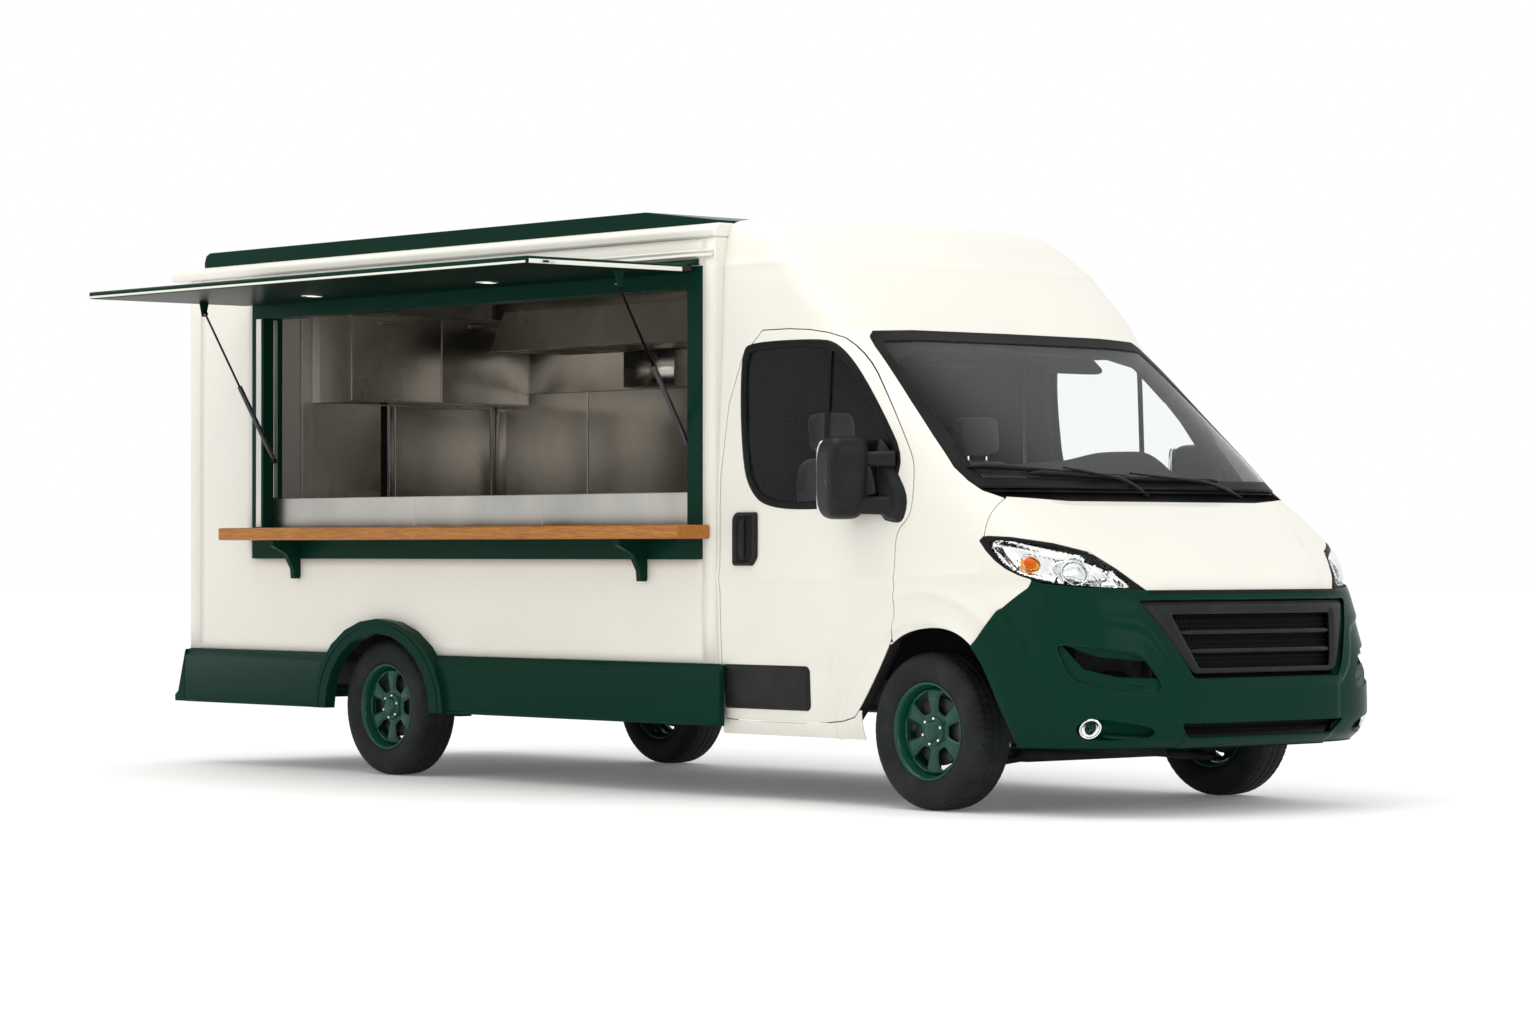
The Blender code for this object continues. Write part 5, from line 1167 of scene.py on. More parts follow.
def silvered_finish(name, colour, flutes):
    """A silvered or chromed surface; the flutes are its fine ribs' scale."""
    return new_finish(name, SILVERED, {"Metallic": 1.0}, Color=colour, Flutes=flutes)


SILVER = silvered_finish("silvered reflector", (0.92, 0.92, 0.91), 26.0)
CHROME = silvered_finish("chromed ring", (0.80, 0.81, 0.82), 2.0)
LENS = glass_finish("clear lamp cover", (0.97, 0.98, 0.98), 0.02)
AMBER = glass_finish("amber lamp glass", (0.95, 0.36, 0.03), 0.10)


def lamp_dishes(places, gaps):
    """The housing's floor: flattened bowls under the main lamp and round the amber bulb, with rims."""
    across = across_corner(places)
    floor = 0.030 * (1 - smooth_step(gaps, 0.0, 0.035))
    for (at, height), half in ((DISH, DISH_HALF), (AMBER_CUP, CUP_HALF)):
        reach = np.hypot((across - at) / half[0], (places[:, 2] - height) / half[1])
        rim = 0.005 * np.exp(-((reach - 1.06) / 0.06) ** 2)
        floor -= 0.034 * np.sqrt(np.clip(1 - reach ** 2, 0.0, 1.0)) - rim
    return floor


lens_edge = dense(softened(LENS_OUTLINE, 2), 0.008)
BULB = [(0.024, -0.045), (0.026, -0.02), (0.022, 0.0), (0.012, 0.012), (0.001, 0.016)]
MAIN_RING = [(0.055, -0.040), (0.060, -0.006), (0.057, 0.000), (0.052, -0.006), (0.049, -0.040)]
MAIN_LENS = [(0.050, -0.036), (0.049, -0.016), (0.041, 0.000), (0.024, 0.010), (0.001, 0.014)]
FOG_RING = [(FOG_RADIUS + 0.003, -0.022), (FOG_RADIUS + 0.003, 0.004), (FOG_RADIUS - 0.002, 0.008),
            (FOG_RADIUS - 0.007, 0.003), (FOG_RADIUS - 0.008, -0.022)]
FOG_BOWL = [(FOG_RADIUS - 0.006, 0.000), (0.030, -0.010), (0.018, -0.016), (0.006, -0.018), (0.001, -0.018),
            (0.001, -0.021), (0.032, -0.018), (FOG_RADIUS - 0.004, -0.006)]
FOG_LENS = [(FOG_RADIUS - 0.006, 0.001), (0.030, 0.007), (0.015, 0.010), (0.001, 0.011), (0.001, 0.008),
            (0.015, 0.007), (0.030, 0.004), (FOG_RADIUS - 0.006, -0.002)]
for side, y in SIDES:
    way = (-y, 1.0)

    def lamp_panel(part, outline, dropped, finish, **shape):
        """A piece of the lamp that follows the cab's skin."""
        return cab_panel("headlamp_%s_%s" % (part, side), [outline], dropped, finish, slot="lamp", **shape)

    def lamp_form(part, profile, at, lift, finish, looped=False):
        """A turned piece of the lamp that looks out of the cab's skin."""
        local, faces = turned(profile, 40, looped)
        place, axes = skin_axes(at, 45, -y)
        new_piece(part + "_" + side, set_on(local + (0.0, 0.0, lift), place, axes), faces, finish,
                  slot="lamp", closed=True)

    housing = lamp_panel("housing", on_skin(grown(lens_edge, 0.004), 45) * way, [], SILVER,
                         lift=-0.046, spacing=0.008, relief=lamp_dishes, edge=0.0)
    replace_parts(housing, "headlamp_" + side)
    lamp_panel("gasket", lamp_on_skin * way, [on_skin(lens_edge, 45) * way], SEAL_RUBBER,
               lift=-0.001, spacing=0.007, thickness=0.045, relief=swollen(0.004, 0.008))
    lamp_panel("cover", on_skin(grown(lens_edge, 0.003), 45) * way, [], LENS,
               lift=0.001, spacing=0.012, thickness=0.0025, edge=0.0)
    lamp_form("headlamp_ring", MAIN_RING, MAIN_LAMP, -0.030, CHROME, looped=True)
    lamp_form("headlamp_main", MAIN_LENS, MAIN_LAMP, -0.032, LENS)
    lamp_form("headlamp_amber", BULB, AMBER_CUP, -0.030, AMBER)
    lamp_form("fog_ring", FOG_RING, FOG_CENTRE, -0.008, CHROME, looped=True)
    lamp_form("fog_bowl", FOG_BOWL, FOG_CENTRE, -0.006, SILVER, looped=True)
    lamp_form("fog_lens", FOG_LENS, FOG_CENTRE, -0.006, LENS, looped=True)


# Door mirrors.
# Each mirror is a moulded black head on two arms from a three-cornered foot on the door, with a
# clear indicator in its outer edge and a silvered glass that faces back.

MIRROR_MIDDLE, MIRROR_TURN = np.array((-0.385, -1.150, 1.468)), -22.0
MIRROR_FOOT = (
    (-0.302, 1.640), (-0.262, 1.640), (-0.200, 1.545), (-0.152, 1.480), (-0.100, 1.405), (-0.090, 1.345),
    (-0.118, 1.275), (-0.165, 1.266), (-0.262, 1.285), (-0.288, 1.380),
)


def rounded_form(half, power, steps=40):
    """A superellipsoid: sines and cosines of two angles, raised to a power, times the half sizes."""
    tilt = np.linspace(-math.pi / 2, math.pi / 2, steps)[1:-1, None]
    turn = np.linspace(0.0, math.tau, steps * 2, endpoint=False)[None, :]

    def raised(value):
        return np.sign(value) * np.abs(value) ** (2 / power)

    rings = np.stack((
        half[0] * raised(np.cos(tilt)) * raised(np.cos(turn)),
        half[1] * raised(np.cos(tilt)) * raised(np.sin(turn)),
        half[2] * raised(np.sin(tilt)) + 0 * turn,
    ), 2)
    places = np.vstack((rings.reshape(-1, 3), (0.0, 0.0, -half[2]), (0.0, 0.0, half[2])))
    return places, ring_faces(steps - 2, steps * 2)


def turned_about_z(places, degrees):
    """Places carried round the upright axis."""
    cosine, sine = math.cos(math.radians(degrees)), math.sin(math.radians(degrees))
    return places @ np.array(((cosine, sine, 0), (-sine, cosine, 0), (0, 0, 1)))


for side, y in SIDES:
    body, hand = "door_" + side, np.array((1.0, -y, 1.0))

    def mirror_part(part, local, faces, finish, at=(0, 0, 0), slot="black_plastic"):
        places = MIRROR_MIDDLE + turned_about_z(local + at, MIRROR_TURN)
        return new_piece("mirror_" + part + "_" + side, places * hand, faces, finish, body, slot, closed=True)

    local, faces = rounded_form((0.116, 0.098, 0.184), 4.0)
    local[:, 0] += 0.022 * (local[:, 2] / 0.19) * (local[:, 0] > 0) * (np.abs(local[:, 1]) < 0.2) - 0.010
    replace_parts(mirror_part("head", local, faces, BLACK_PLASTIC), "mirror_" + side)
    local, faces = rounded_form((0.012, 0.082, 0.172), 6.0, 24)
    mirror_part("glass", local, faces, CHROME, (-0.117, 0.0, 0.0), "glass")
    local, faces = rounded_form((0.020, 0.014, 0.072), 5.0, 20)
    mirror_part("indicator", local, faces, LENS, (0.062, -0.090, 0.005), "lamp")
    for number, (height, thick, stretch) in enumerate(((1.345, 0.022, 2.0), (1.552, 0.020, 1.8))):
        route = curve_through(((-0.17, -1.030, height), (-0.22, -1.075, height), (-0.33, -1.135, height)), 14)
        places, faces = tube(route, thick * np.linspace(1.0, 0.85, 14), 16)
        places[:, 2] = height + (places[:, 2] - height) * stretch
        new_piece("mirror_arm_%d_%s" % (number + 1, side), places * hand, faces, BLACK_PLASTIC, body,
                  "black_plastic", closed=True)
    foot = on_skin(dense(softened(MIRROR_FOOT, 1), 0.008), 0) * (-y, 1.0)
    cab_panel("mirror_foot_" + side, [foot], [], BLACK_PLASTIC, lift=0.002, spacing=0.008, thickness=0.012,
              body=body, slot="black_plastic", relief=swollen(0.026, 0.045))


# Cab inside.
# The dash is moulded grey plastic with a soft pad on top, the steering wheel a padded ring on three
# spokes, and each seat is sewn cloth over foam on a plastic plinth. The sun visors are padded boards
# over the windscreen.

TRIM = moulded_finish("grey cab trim", (0.012, 0.013, 0.013), 0.60, 700.0, 0.3, 0.03, 0.1)
joined_copy("dashboard", TRIM, width=0.008)


def grid_quads(rows, columns):
    """Quads of a grid of points, row by row."""
    row, column = np.meshgrid(np.arange(rows - 1), np.arange(columns - 1), indexing="ij")
    corner = (row * columns + column).ravel()
    return np.stack((corner, corner + columns, corner + columns + 1, corner + 1), 1)


PAD_HALF, PAD_FOOT, PAD_UNDERSIDE = 0.82, 1.31, 1.30
PAD_RIDGE = (
    # across the cab, height
    (-0.82, 1.33), (-0.70, 1.48), (-0.45, 1.53), (0.0, 1.555), (0.30, 1.60), (0.50, 1.605), (0.68, 1.52),
    (0.82, 1.33),
)


def dash_pad_form(columns=60, rows=24):
    """The pad along the top of the dash, as heights over a grid.

    It arches from front to rear, and its ridge rises towards the driver's side. A flat underside
    closes it inside the dash.
    """
    across = np.linspace(-PAD_HALF, PAD_HALF, columns)[:, None]
    share = np.linspace(0.0, 1.0, rows)[None, :]
    knots, heights = np.transpose(PAD_RIDGE)
    ridge = eased(across[:, 0], knots, heights[:, None])
    top = PAD_FOOT + (ridge - PAD_FOOT) * (1 - np.abs(1.7 * share - 1.0).clip(0, 1) ** 2.6)
    along = 0.03 - 0.33 * share + 0.04 * (across / PAD_HALF) ** 2 * (share - 1.0)
    upper = np.stack((along, across + 0 * share, top), 2)
    lower = upper * (1, 1, 0) + (0, 0, PAD_UNDERSIDE)
    order = np.arange(columns * rows).reshape(columns, rows)
    rim = np.concatenate((order[:, 0], order[-1, 1:], order[-2::-1, -1], order[0, -2:0:-1]))
    after = np.roll(rim, -1)
    sheet = grid_quads(columns, rows)
    wall = np.stack((rim, after, after + columns * rows, rim + columns * rows), 1)
    faces = np.vstack((sheet, sheet[:, ::-1] + columns * rows, wall[:, ::-1]))
    return np.vstack((upper.reshape(-1, 3), lower.reshape(-1, 3))), faces


pad_places, pad_faces = dash_pad_form()
new_piece("dash_pad", pad_places, pad_faces, TRIM, slot="trim", closed=True)


def joined_forms(forms):
    """Several (places, faces) pairs as one."""
    starts = np.cumsum([0] + [len(places) for places, _ in forms]).tolist()
    faces = [[index + start for index in face] for (_, some), start in zip(forms, starts) for face in some]
    return np.vstack([places for places, _ in forms]), faces


STEERING_MIDDLE, STEERING_LEAN = np.array((-0.52, 0.47, 1.30)), math.radians(62.0)
STEERING_RADIUS, GRIP_RADIUS = 0.199, 0.0155
steering_out = np.array((-math.cos(STEERING_LEAN), 0.0, math.sin(STEERING_LEAN)))
steering_axes = np.stack(((0.0, -1.0, 0.0), np.cross(steering_out, (0.0, -1.0, 0.0)), steering_out), 1)
loop_angles = np.linspace(0.0, math.tau, 14, endpoint=False)
grip_across, grip_up = GRIP_RADIUS * np.cos(loop_angles), GRIP_RADIUS * np.sin(loop_angles)
wheel_forms = [turned(np.stack((STEERING_RADIUS + grip_across, grip_up), 1), 72, looped=True),
               rounded_form((0.066, 0.056, 0.024), 3.2, 24)]
for degrees in (90.0, 210.0, 330.0):
    turn = math.radians(degrees - 180)
    spoke = np.array((math.cos(turn), math.sin(turn), 0.0)) * np.linspace(0.04, 0.193, 10)[:, None]
    wheel_forms.append(tube(spoke - (0.0, 0.0, 0.006), 0.015 - 0.004 * np.linspace(0, 1, 10)))
local, faces = joined_forms(wheel_forms)
STEERING_GRIP = moulded_finish("padded wheel grip", (0.014, 0.014, 0.014), 0.55, 1500.0, 0.35, 0.02)
grip = new_piece("steering_wheel_grip", set_on(local, STEERING_MIDDLE, steering_axes), faces, STEERING_GRIP,
                 "steering_wheel", "trim", closed=True)
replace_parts(grip, "steering_wheel")


def woven_cloth_group():
    """Colour, roughness and normal of plain cloth: two fine waves at right angles, and mottled dye."""
    tree, ins, outs = new_group(
        "woven cloth", [("Color", "Color", (0.1, 0.1, 0.1, 1.0)), ("Threads", "Float", 160.0)], SURFACE,
    )
    threads = [waves(tree, way, ins.outputs["Threads"], 0.4) for way in "YZ"]
    weave = maths(tree, "MULTIPLY", *threads)
    dyed = toned(tree, ins.outputs["Color"], ranged(tree, noise(tree, 30.0, 4.0), 0.3, 0.7, 0.75, 1.3))
    return hand_out(
        tree, outs, Color=blend_colours(tree, weave, dyed, (0.10, 0.10, 0.11)),
        Roughness=ranged(tree, weave, 0.0, 1.0, 0.75, 0.95), Normal=bumped(tree, weave, 0.4, 0.001),
    )


SEAT_CLOTH = new_finish("woven seat cloth", woven_cloth_group(), {"Sheen Weight": 0.3},
                        Color=(0.030, 0.032, 0.036), Threads=170.0)


def cushion_form(half, seams, crown, steps=44):
    """A sewn cushion: a rounded form whose sides pull in between its corners and whose face swells.

    Its face is its high side. Each seam is a narrow channel across the face, at a share of its width.
    """
    places, faces = rounded_form(half, 5.0, steps)
    x, y, z = (places / half).T
    places *= 1 - 0.035 * (1 - z ** 2)[:, None] * np.stack((1 - y ** 2, 1 - x ** 2, 0 * x), 1)
    face = np.clip(z, 0.0, 1.0) ** 2 * (1 - x ** 2).clip(0) * (1 - y ** 2).clip(0)
    places[:, 2] += crown * face
    for seam in seams:
        places[:, 2] -= 0.012 * np.exp(-((y - seam) / 0.035) ** 2) * np.clip(z, 0.0, 1.0)
    return places, faces


def leaning(degrees):
    """Axes turned about the level one that runs across the truck."""
    cosine, sine = math.cos(math.radians(degrees)), math.sin(math.radians(degrees))
    return np.array(((cosine, 0, sine), (0, 1, 0), (-sine, 0, cosine)))


for name, middle_y in (("driver", 0.47), ("passenger", -0.47)):
    places, faces = rounded_form((0.20, 0.20, 0.13), 7.0, 24)
    plinth = new_piece("seat_plinth_" + name, places + (-0.93, middle_y, 0.732), faces, TRIM, slot="trim",
                       closed=True)
    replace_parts(plinth, "seat_" + name)
    for part, half, seams, crown, tilt, at in (
        ("cushion", (0.255, 0.245, 0.070), (-0.55, 0.55), 0.020, 4.0, (-0.925, 0.0, 0.908)),
        ("back", (0.340, 0.225, 0.055), (-0.58, 0.58), 0.018, 84.0, (-1.165, 0.0, 1.248)),
        ("headrest", (0.092, 0.125, 0.042), (), 0.010, 84.0, (-1.215, 0.0, 1.700)),
    ):
        places, faces = cushion_form(half, seams, crown)
        places = places @ leaning(tilt) * (-1, 1, 1) + np.array(at) + (0, middle_y, 0)
        pad = new_piece("seat_%s_%s" % (part, name), places, faces, SEAT_CLOTH, slot="fabric", closed=True)
    posts = [tube(((-1.205, middle_y + y, 1.52), (-1.212, middle_y + y, 1.66)), 0.007) for y in (-0.06, 0.06)]
    new_piece("headrest_posts_" + name, *joined_forms(posts), CHROME, slot="steel", closed=True)

for name, middle_y in (("driver", 0.42), ("passenger", -0.42)):
    places, faces = rounded_form((0.085, 0.20, 0.010), 5.0, 24)
    new_piece("sun_visor_" + name, places @ leaning(-38.0) + (-0.555, middle_y, 2.03), faces, TRIM,
              slot="trim", closed=True)


# Wheels.
# Radial van tyres stand on painted six-spoke rims. The tyre is vulcanised rubber with a ribbed tread
# and blocked shoulders; the rim is a cast face in a rolled barrel, held by nuts round its hub cap.

WHEEL_PLACES = {
    "front_right": (0.0, -0.905), "front_left": (0.0, 0.905),
    "rear_right": (-4.035, -0.905), "rear_left": (-4.035, 0.905),
}
TYRE_RADIUS, TYRE_BLOCKS, BEAD_RADIUS = 0.35, 60, 0.2036
TYRE_HALF_PROFILE = (
    # radius, half width, from the bead to the middle of the tread
    (BEAD_RADIUS, 0.079), (0.2125, 0.0885), (0.226, 0.0985), (0.250, 0.108), (0.278, 0.1120),
    (0.300, 0.1110), (0.318, 0.1055), (0.331, 0.0965), (0.3405, 0.0850), (0.3462, 0.0700),
    (0.3485, 0.0500), (0.3495, 0.0250), (TYRE_RADIUS, 0.0),
)
SIDE_RINGS = (0.232, 0.292, 0.322, 0.327)
DISC_RADIUS = 0.1955
DISC_PROFILE = (
    # radius, how far out the face stands
    (0.0, 0.052), (0.05, 0.054), (0.075, 0.052), (0.10, 0.060), (0.15, 0.064), (0.185, 0.058),
    (DISC_RADIUS, 0.050),
)
NUT_CIRCLE, NUT_TURN = 0.0575, 0.3


def tyre_form(steps=300):
    """The tyre's section carried round the hub, with the tread cut into it.

    Two ring grooves run beside the middle. Outside them, straight cuts part the shoulder into
    blocks, and slanted ones nick the ribs. Fine raised rings lie on the side wall.
    """
    half = curve_through(TYRE_HALF_PROFILE, 34)
    section = np.vstack((half, (half * (1, -1))[-2::-1]))
    slope = np.gradient(section, axis=0)
    normal = np.stack((-slope[:, 1], slope[:, 0]), 1)
    normal /= -np.linalg.norm(normal, axis=1)[:, None]
    normal *= np.sign(normal[len(normal) // 2, 0])
    radius, side = section[:, 0], section[:, 1]
    angles = np.linspace(0.0, math.tau, steps, endpoint=False)[None, :]
    away = np.abs(side)[:, None]
    block = (angles / math.tau * TYRE_BLOCKS + 4.0 * side[:, None]) % 1.0
    ring = 0.006 * sum(np.exp(-((away - at) / 0.0042) ** 4) for at in (0.018, 0.058))
    shoulder = smooth_step(away, 0.062, 0.070) * (1 - smooth_step(away, 0.094, 0.102))
    rib = smooth_step(away, 0.024, 0.030) * (1 - smooth_step(away, 0.046, 0.052))
    cut, nick = 0.005 * (block < 0.26) * shoulder, 0.003 * (block > 0.7) * rib
    raised = sum(0.0013 * np.exp(-((radius - at) / 0.0018) ** 2) for at in SIDE_RINGS)[:, None]
    depth = (raised - np.maximum(np.maximum(ring, cut), nick))[..., None]
    spun = section[:, None] + normal[:, None] * depth
    rings = np.stack((spun[..., 0] * np.cos(angles), spun[..., 0] * np.sin(angles), spun[..., 1]), 2)
    inner = np.stack((BEAD_RADIUS * np.cos(angles), BEAD_RADIUS * np.sin(angles), 0 * angles), 2)
    rings = np.vstack((rings, inner))
    return rings.reshape(-1, 3), ring_faces(len(rings), steps, looped=True)


def spoke_half(radius):
    """Half a spoke's width: narrow near the hub and wide at the rim."""
    return np.interp(radius, (0.06, 0.11, 0.15, 0.20), (0.026, 0.027, 0.036, 0.052))


def window_between_spokes(number):
    """The opening after a spoke: up one spoke's side and down the next one's."""
    radius = np.linspace(0.090, 0.182, 12)
    turn = np.arcsin(np.minimum(spoke_half(radius) / radius, 0.9))
    start = math.pi / 2 + number * math.tau / 6
    angle = np.concatenate((start + turn, (start + math.tau / 6 - turn)[::-1]))
    reach = np.concatenate((radius, radius[::-1]))
    return dense(softened(np.stack((reach * np.cos(angle), reach * np.sin(angle)), 1), 2), 0.004)


ring_turn = np.linspace(0.0, math.tau, 160, endpoint=False)
disc_edge = DISC_RADIUS * np.stack((np.cos(ring_turn), np.sin(ring_turn)), 1)
disc, disc_quads, disc_gaps = trimmed_grid([disc_edge], [window_between_spokes(n) for n in range(6)], 0.0058)
disc_out = np.interp(np.hypot(disc[:, 0], disc[:, 1]), *np.transpose(DISC_PROFILE))
disc_out -= 0.010 * (1 - smooth_step(disc_gaps, 0.0, 0.014))
disc_local = np.column_stack((disc, disc_out))
BARREL = [
    (0.2168, 0.0948), (0.2172, 0.0900), (0.2080, 0.0815), (0.2032, 0.0790), (0.2032, -0.0790),
    (0.2080, -0.0815), (0.2172, -0.0900), (0.2168, -0.0948), (0.2080, -0.0940), (0.1990, -0.0800),
    (0.1930, -0.0600), (0.1900, 0.0), (0.1930, 0.0480), (0.1975, 0.0680), (0.2020, 0.0800), (0.2090, 0.0935),
]
HUB_CAP = [
    (0.068, 0.030), (0.068, 0.056), (0.064, 0.062), (0.056, 0.064), (0.052, 0.062), (0.047, 0.064),
    (0.044, 0.074), (0.038, 0.080), (0.024, 0.083), (0.012, 0.084), (0.001, 0.084),
]
BRAKE_DISC = [(0.062, 0.020), (0.062, 0.000), (0.150, 0.000), (0.152, 0.002), (0.152, 0.018), (0.150, 0.020)]
NUT = [(0.0085, 0.055), (0.0085, 0.066), (0.0065, 0.071), (0.001, 0.073)]
CAST_METAL = moulded_finish("cast metal", (0.045, 0.046, 0.047), 0.50, 260.0, 0.35, 0.15, 0.5, 0.6)
TYRE_RUBBER = moulded_finish("tyre rubber", (0.011, 0.013, 0.013), 0.62, 420.0, 0.16, 0.06, 0.14)
tyre_places, tyre_faces = tyre_form()
nut_forms = []
for angle in np.arange(6) * math.tau / 6 + NUT_TURN:
    places, faces = turned(NUT, 8)
    nut_forms.append((places + (NUT_CIRCLE * math.cos(angle), NUT_CIRCLE * math.sin(angle), 0.0), faces))
for tag, (x, y) in WHEEL_PLACES.items():
    out = math.copysign(1.0, y)
    axes = np.stack(((-out, 0, 0), (0, 0, 1.0), (0, out, 0)), 1)
    middle, body = (x, y, TYRE_RADIUS), "wheel_" + tag

    def wheel_part(part, local, faces, finish, slot="rim_green"):
        places = set_on(local, middle, axes)
        return new_piece(part + "_" + tag, places, faces, finish, body, slot, closed=True)

    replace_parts(wheel_part("tyre_tread", tyre_places, tyre_faces, TYRE_RUBBER, "tyre"), "tyre_" + tag)
    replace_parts(wheel_part("rim_barrel", *turned(BARREL, 128, looped=True), RIM_GREEN), "rim_" + tag)
    wheel_part("rim_hub", *turned(HUB_CAP, 48), RIM_GREEN)
    wheel_part("brake_disc", *turned(BRAKE_DISC, 64, looped=True), CAST_METAL, "steel")
    wheel_part("rim_nuts", *joined_forms(nut_forms), CHROME, "steel")
    places = set_on(disc_local, middle, axes)
    quads = outward_quads(places, disc_quads, np.array((x, 0.0, TYRE_RADIUS)))
    thickened(new_piece("rim_face_" + tag, places, quads, RIM_GREEN, body, "rim_green"), 0.022, 0.002)


# Axles, chassis and engine.
# Pressed rails, a beam axle in front and a live axle behind, all in black chassis paint with road
# dust. The engine is a cast block and the tank a moulded black box beside the rail. A dark mesh sheet
# behind the bumper's openings stands for the shade behind them: painted shade.

CHASSIS_BLACK = moulded_finish("black chassis paint", (0.010, 0.010, 0.010), 0.55, 200.0, 0.12, 0.16, 0.3)
for name in ("front_axle", "rear_axle", "knuckle_left", "knuckle_right"):
    joined_copy(name, CAST_METAL if "knuckle" in name else CHASSIS_BLACK)
joined_copy("chassis_frame", CHASSIS_BLACK, width=0.003)
joined_copy("engine_block", CAST_METAL, width=0.006)
joined_copy("fuel_tank", BLACK_PLASTIC, width=0.010)
# Painted shade: a dark mesh sheet behind the grille and the low slot, for the shade seen through them.
shade_backing_edge = dense(cornered(((-0.66, 0.3015), (0.66, 0.3015), (0.62, 0.62), (-0.62, 0.62)), 0.02), 0.02)
cab_panel("shade_backing_guard", [on_skin(shade_backing_edge, 90)], [], GRILLE_MESH, lift=-0.046, spacing=0.03,
          slot="black_plastic", edge=0.0)


# Kitchen box.
# Bonded glass-fibre panels, sprayed cream, are framed at the corners by folded aluminium posts in the
# same paint. A ribbed drip rail runs over the window, and a staff door hangs in the left side.

for name in ("box_left_wall", "box_right_wall", "box_rear_wall", "bulkhead"):
    joined_copy(name, CREAM, width=0.0015)
joined_copy("box_roof", CREAM, width=0.014, segments=4)
joined_copy("box_floor", BLACK_PLASTIC)
joined_copy("side_door", CREAM, width=0.004)


def pressed_sheet(name, corner, across, up, proud, finish, slot, body="truck", rim=0.004, foot=0.0005):
    """A flat sheet that stands proud of what it is fixed to, its four edges curving back to it.

    Along both ways it rises as a quarter circle from each edge; the lower of the two rises counts.
    """
    across, up = np.array(across, float), np.array(up, float)
    turn = np.linspace(0.0, math.pi / 2, 5)
    shares, rises = [], []
    for run in (across, up):
        curve = rim * (1 - np.cos(turn)) / np.linalg.norm(run)
        shares.append(np.concatenate((curve, 1 - curve[::-1])))
        rises.append(np.concatenate((np.sin(turn), np.sin(turn)[::-1])))
    out = np.cross(across, up)
    out /= np.linalg.norm(out)
    rise = np.minimum(rises[0][:, None], rises[1][None, :]) * (proud + foot) - foot
    places = np.array(corner) + shares[0][:, None, None] * across + shares[1][None, :, None] * up
    places = places + rise[..., None] * out
    return new_piece(name, places.reshape(-1, 3), grid_quads(10, 10), finish, body, slot)


BOX_MIDDLE = np.array((-3.5, 0.0, 1.5))


def drawn_strip(name, profile, ends, axis, finish, slot, thickness=0.002, steps=12):
    """A folded strip: its profile, across the axis, drawn straight from one end to the other."""
    profile = np.asarray(profile, float)
    along = np.linspace(ends[0], ends[1], steps)[:, None] + np.zeros(len(profile))
    columns = list(np.broadcast_to(profile.T[:, None], (2, steps, len(profile))))
    columns.insert("xyz".index(axis), along)
    places = np.stack(columns, 2).reshape(-1, 3)
    quads = outward_quads(places, grid_quads(steps, len(profile)), BOX_MIDDLE)
    return thickened(new_piece(name, places, quads, finish, slot=slot), thickness)


def rounded_turn(corner, from_point, to_point, radius, steps=8):
    """Points of a quarter-like bend at a corner, from one side to the other."""
    corner, one, two = (np.array(point, float) for point in (corner, from_point, to_point))
    start, end = corner + unit(one - corner) * radius, corner + unit(two - corner) * radius
    return quadratic(start, corner, end, np.linspace(0.0, 1.0, steps)[:, None])


POST_FOOT_AND_TOP = (0.622, 2.60)
POST_FACE, WALL_FACE, REAR_FACE = 1.0435, 1.0385, -5.7735
DRIP_PROFILE = (
    (-WALL_FACE, 2.548), (-1.0480, 2.545), (-1.0500, 2.538), (-1.0430, 2.533), (-1.0480, 2.527),
    (-1.0560, 2.520), (-1.0560, 2.514), (-WALL_FACE, 2.511),
)
FLARE_MIDDLE = (-3.975, 0.335)
FLANK_FACE, FLANK_EDGES = 1.0408, (-5.6695, 0.6215, -1.4725, 2.5995)
WINDOW_EDGES, SIDE_DOOR_EDGES = (-5.176, 1.104, -1.479, 2.471), (-2.626, 0.654, -1.854, 2.426)

for side, y in SIDES:
    bend = rounded_turn((REAR_FACE, POST_FACE * y), (-5.67, POST_FACE * y), (REAR_FACE, 0.93 * y), 0.022)
    rear_post = np.vstack((
        (-5.668, WALL_FACE * y), (-5.670, 1.0425 * y), bend, (-5.7730, 0.955 * y), (-5.7690, 0.953 * y),
    ))
    drawn_strip("rear_post_" + side, rear_post, POST_FOOT_AND_TOP, "z", CREAM, "cream_paint")
    front_post = np.array((
        (-1.387, WALL_FACE), (-1.389, POST_FACE), (-1.470, POST_FACE), (-1.474, WALL_FACE),
    )) * (1.0, y)
    drawn_strip("front_post_" + side, front_post, POST_FOOT_AND_TOP, "z", CREAM, "cream_paint")
drawn_strip("drip_rail", DRIP_PROFILE, (-5.25, -1.395), "x", CREAM, "cream_paint")

# Painted shade: a dark trim sheet over the cab's rear wall, for the shade seen through the windscreen.
pressed_sheet("cab_rear_shade_lining", (-1.3845, -0.95, 0.66), (0, 1.90, 0), (0, 0, 1.93), 0.006, TRIM, "trim")


def flare_arch(half, height, steps):
    """The upper half of an ellipse over the rear wheel, from rear to front."""
    turn = np.linspace(math.pi, 0.0, steps)
    return np.stack((FLARE_MIDDLE[0] + half * np.cos(turn), FLARE_MIDDLE[1] + height * np.sin(turn)), 1)


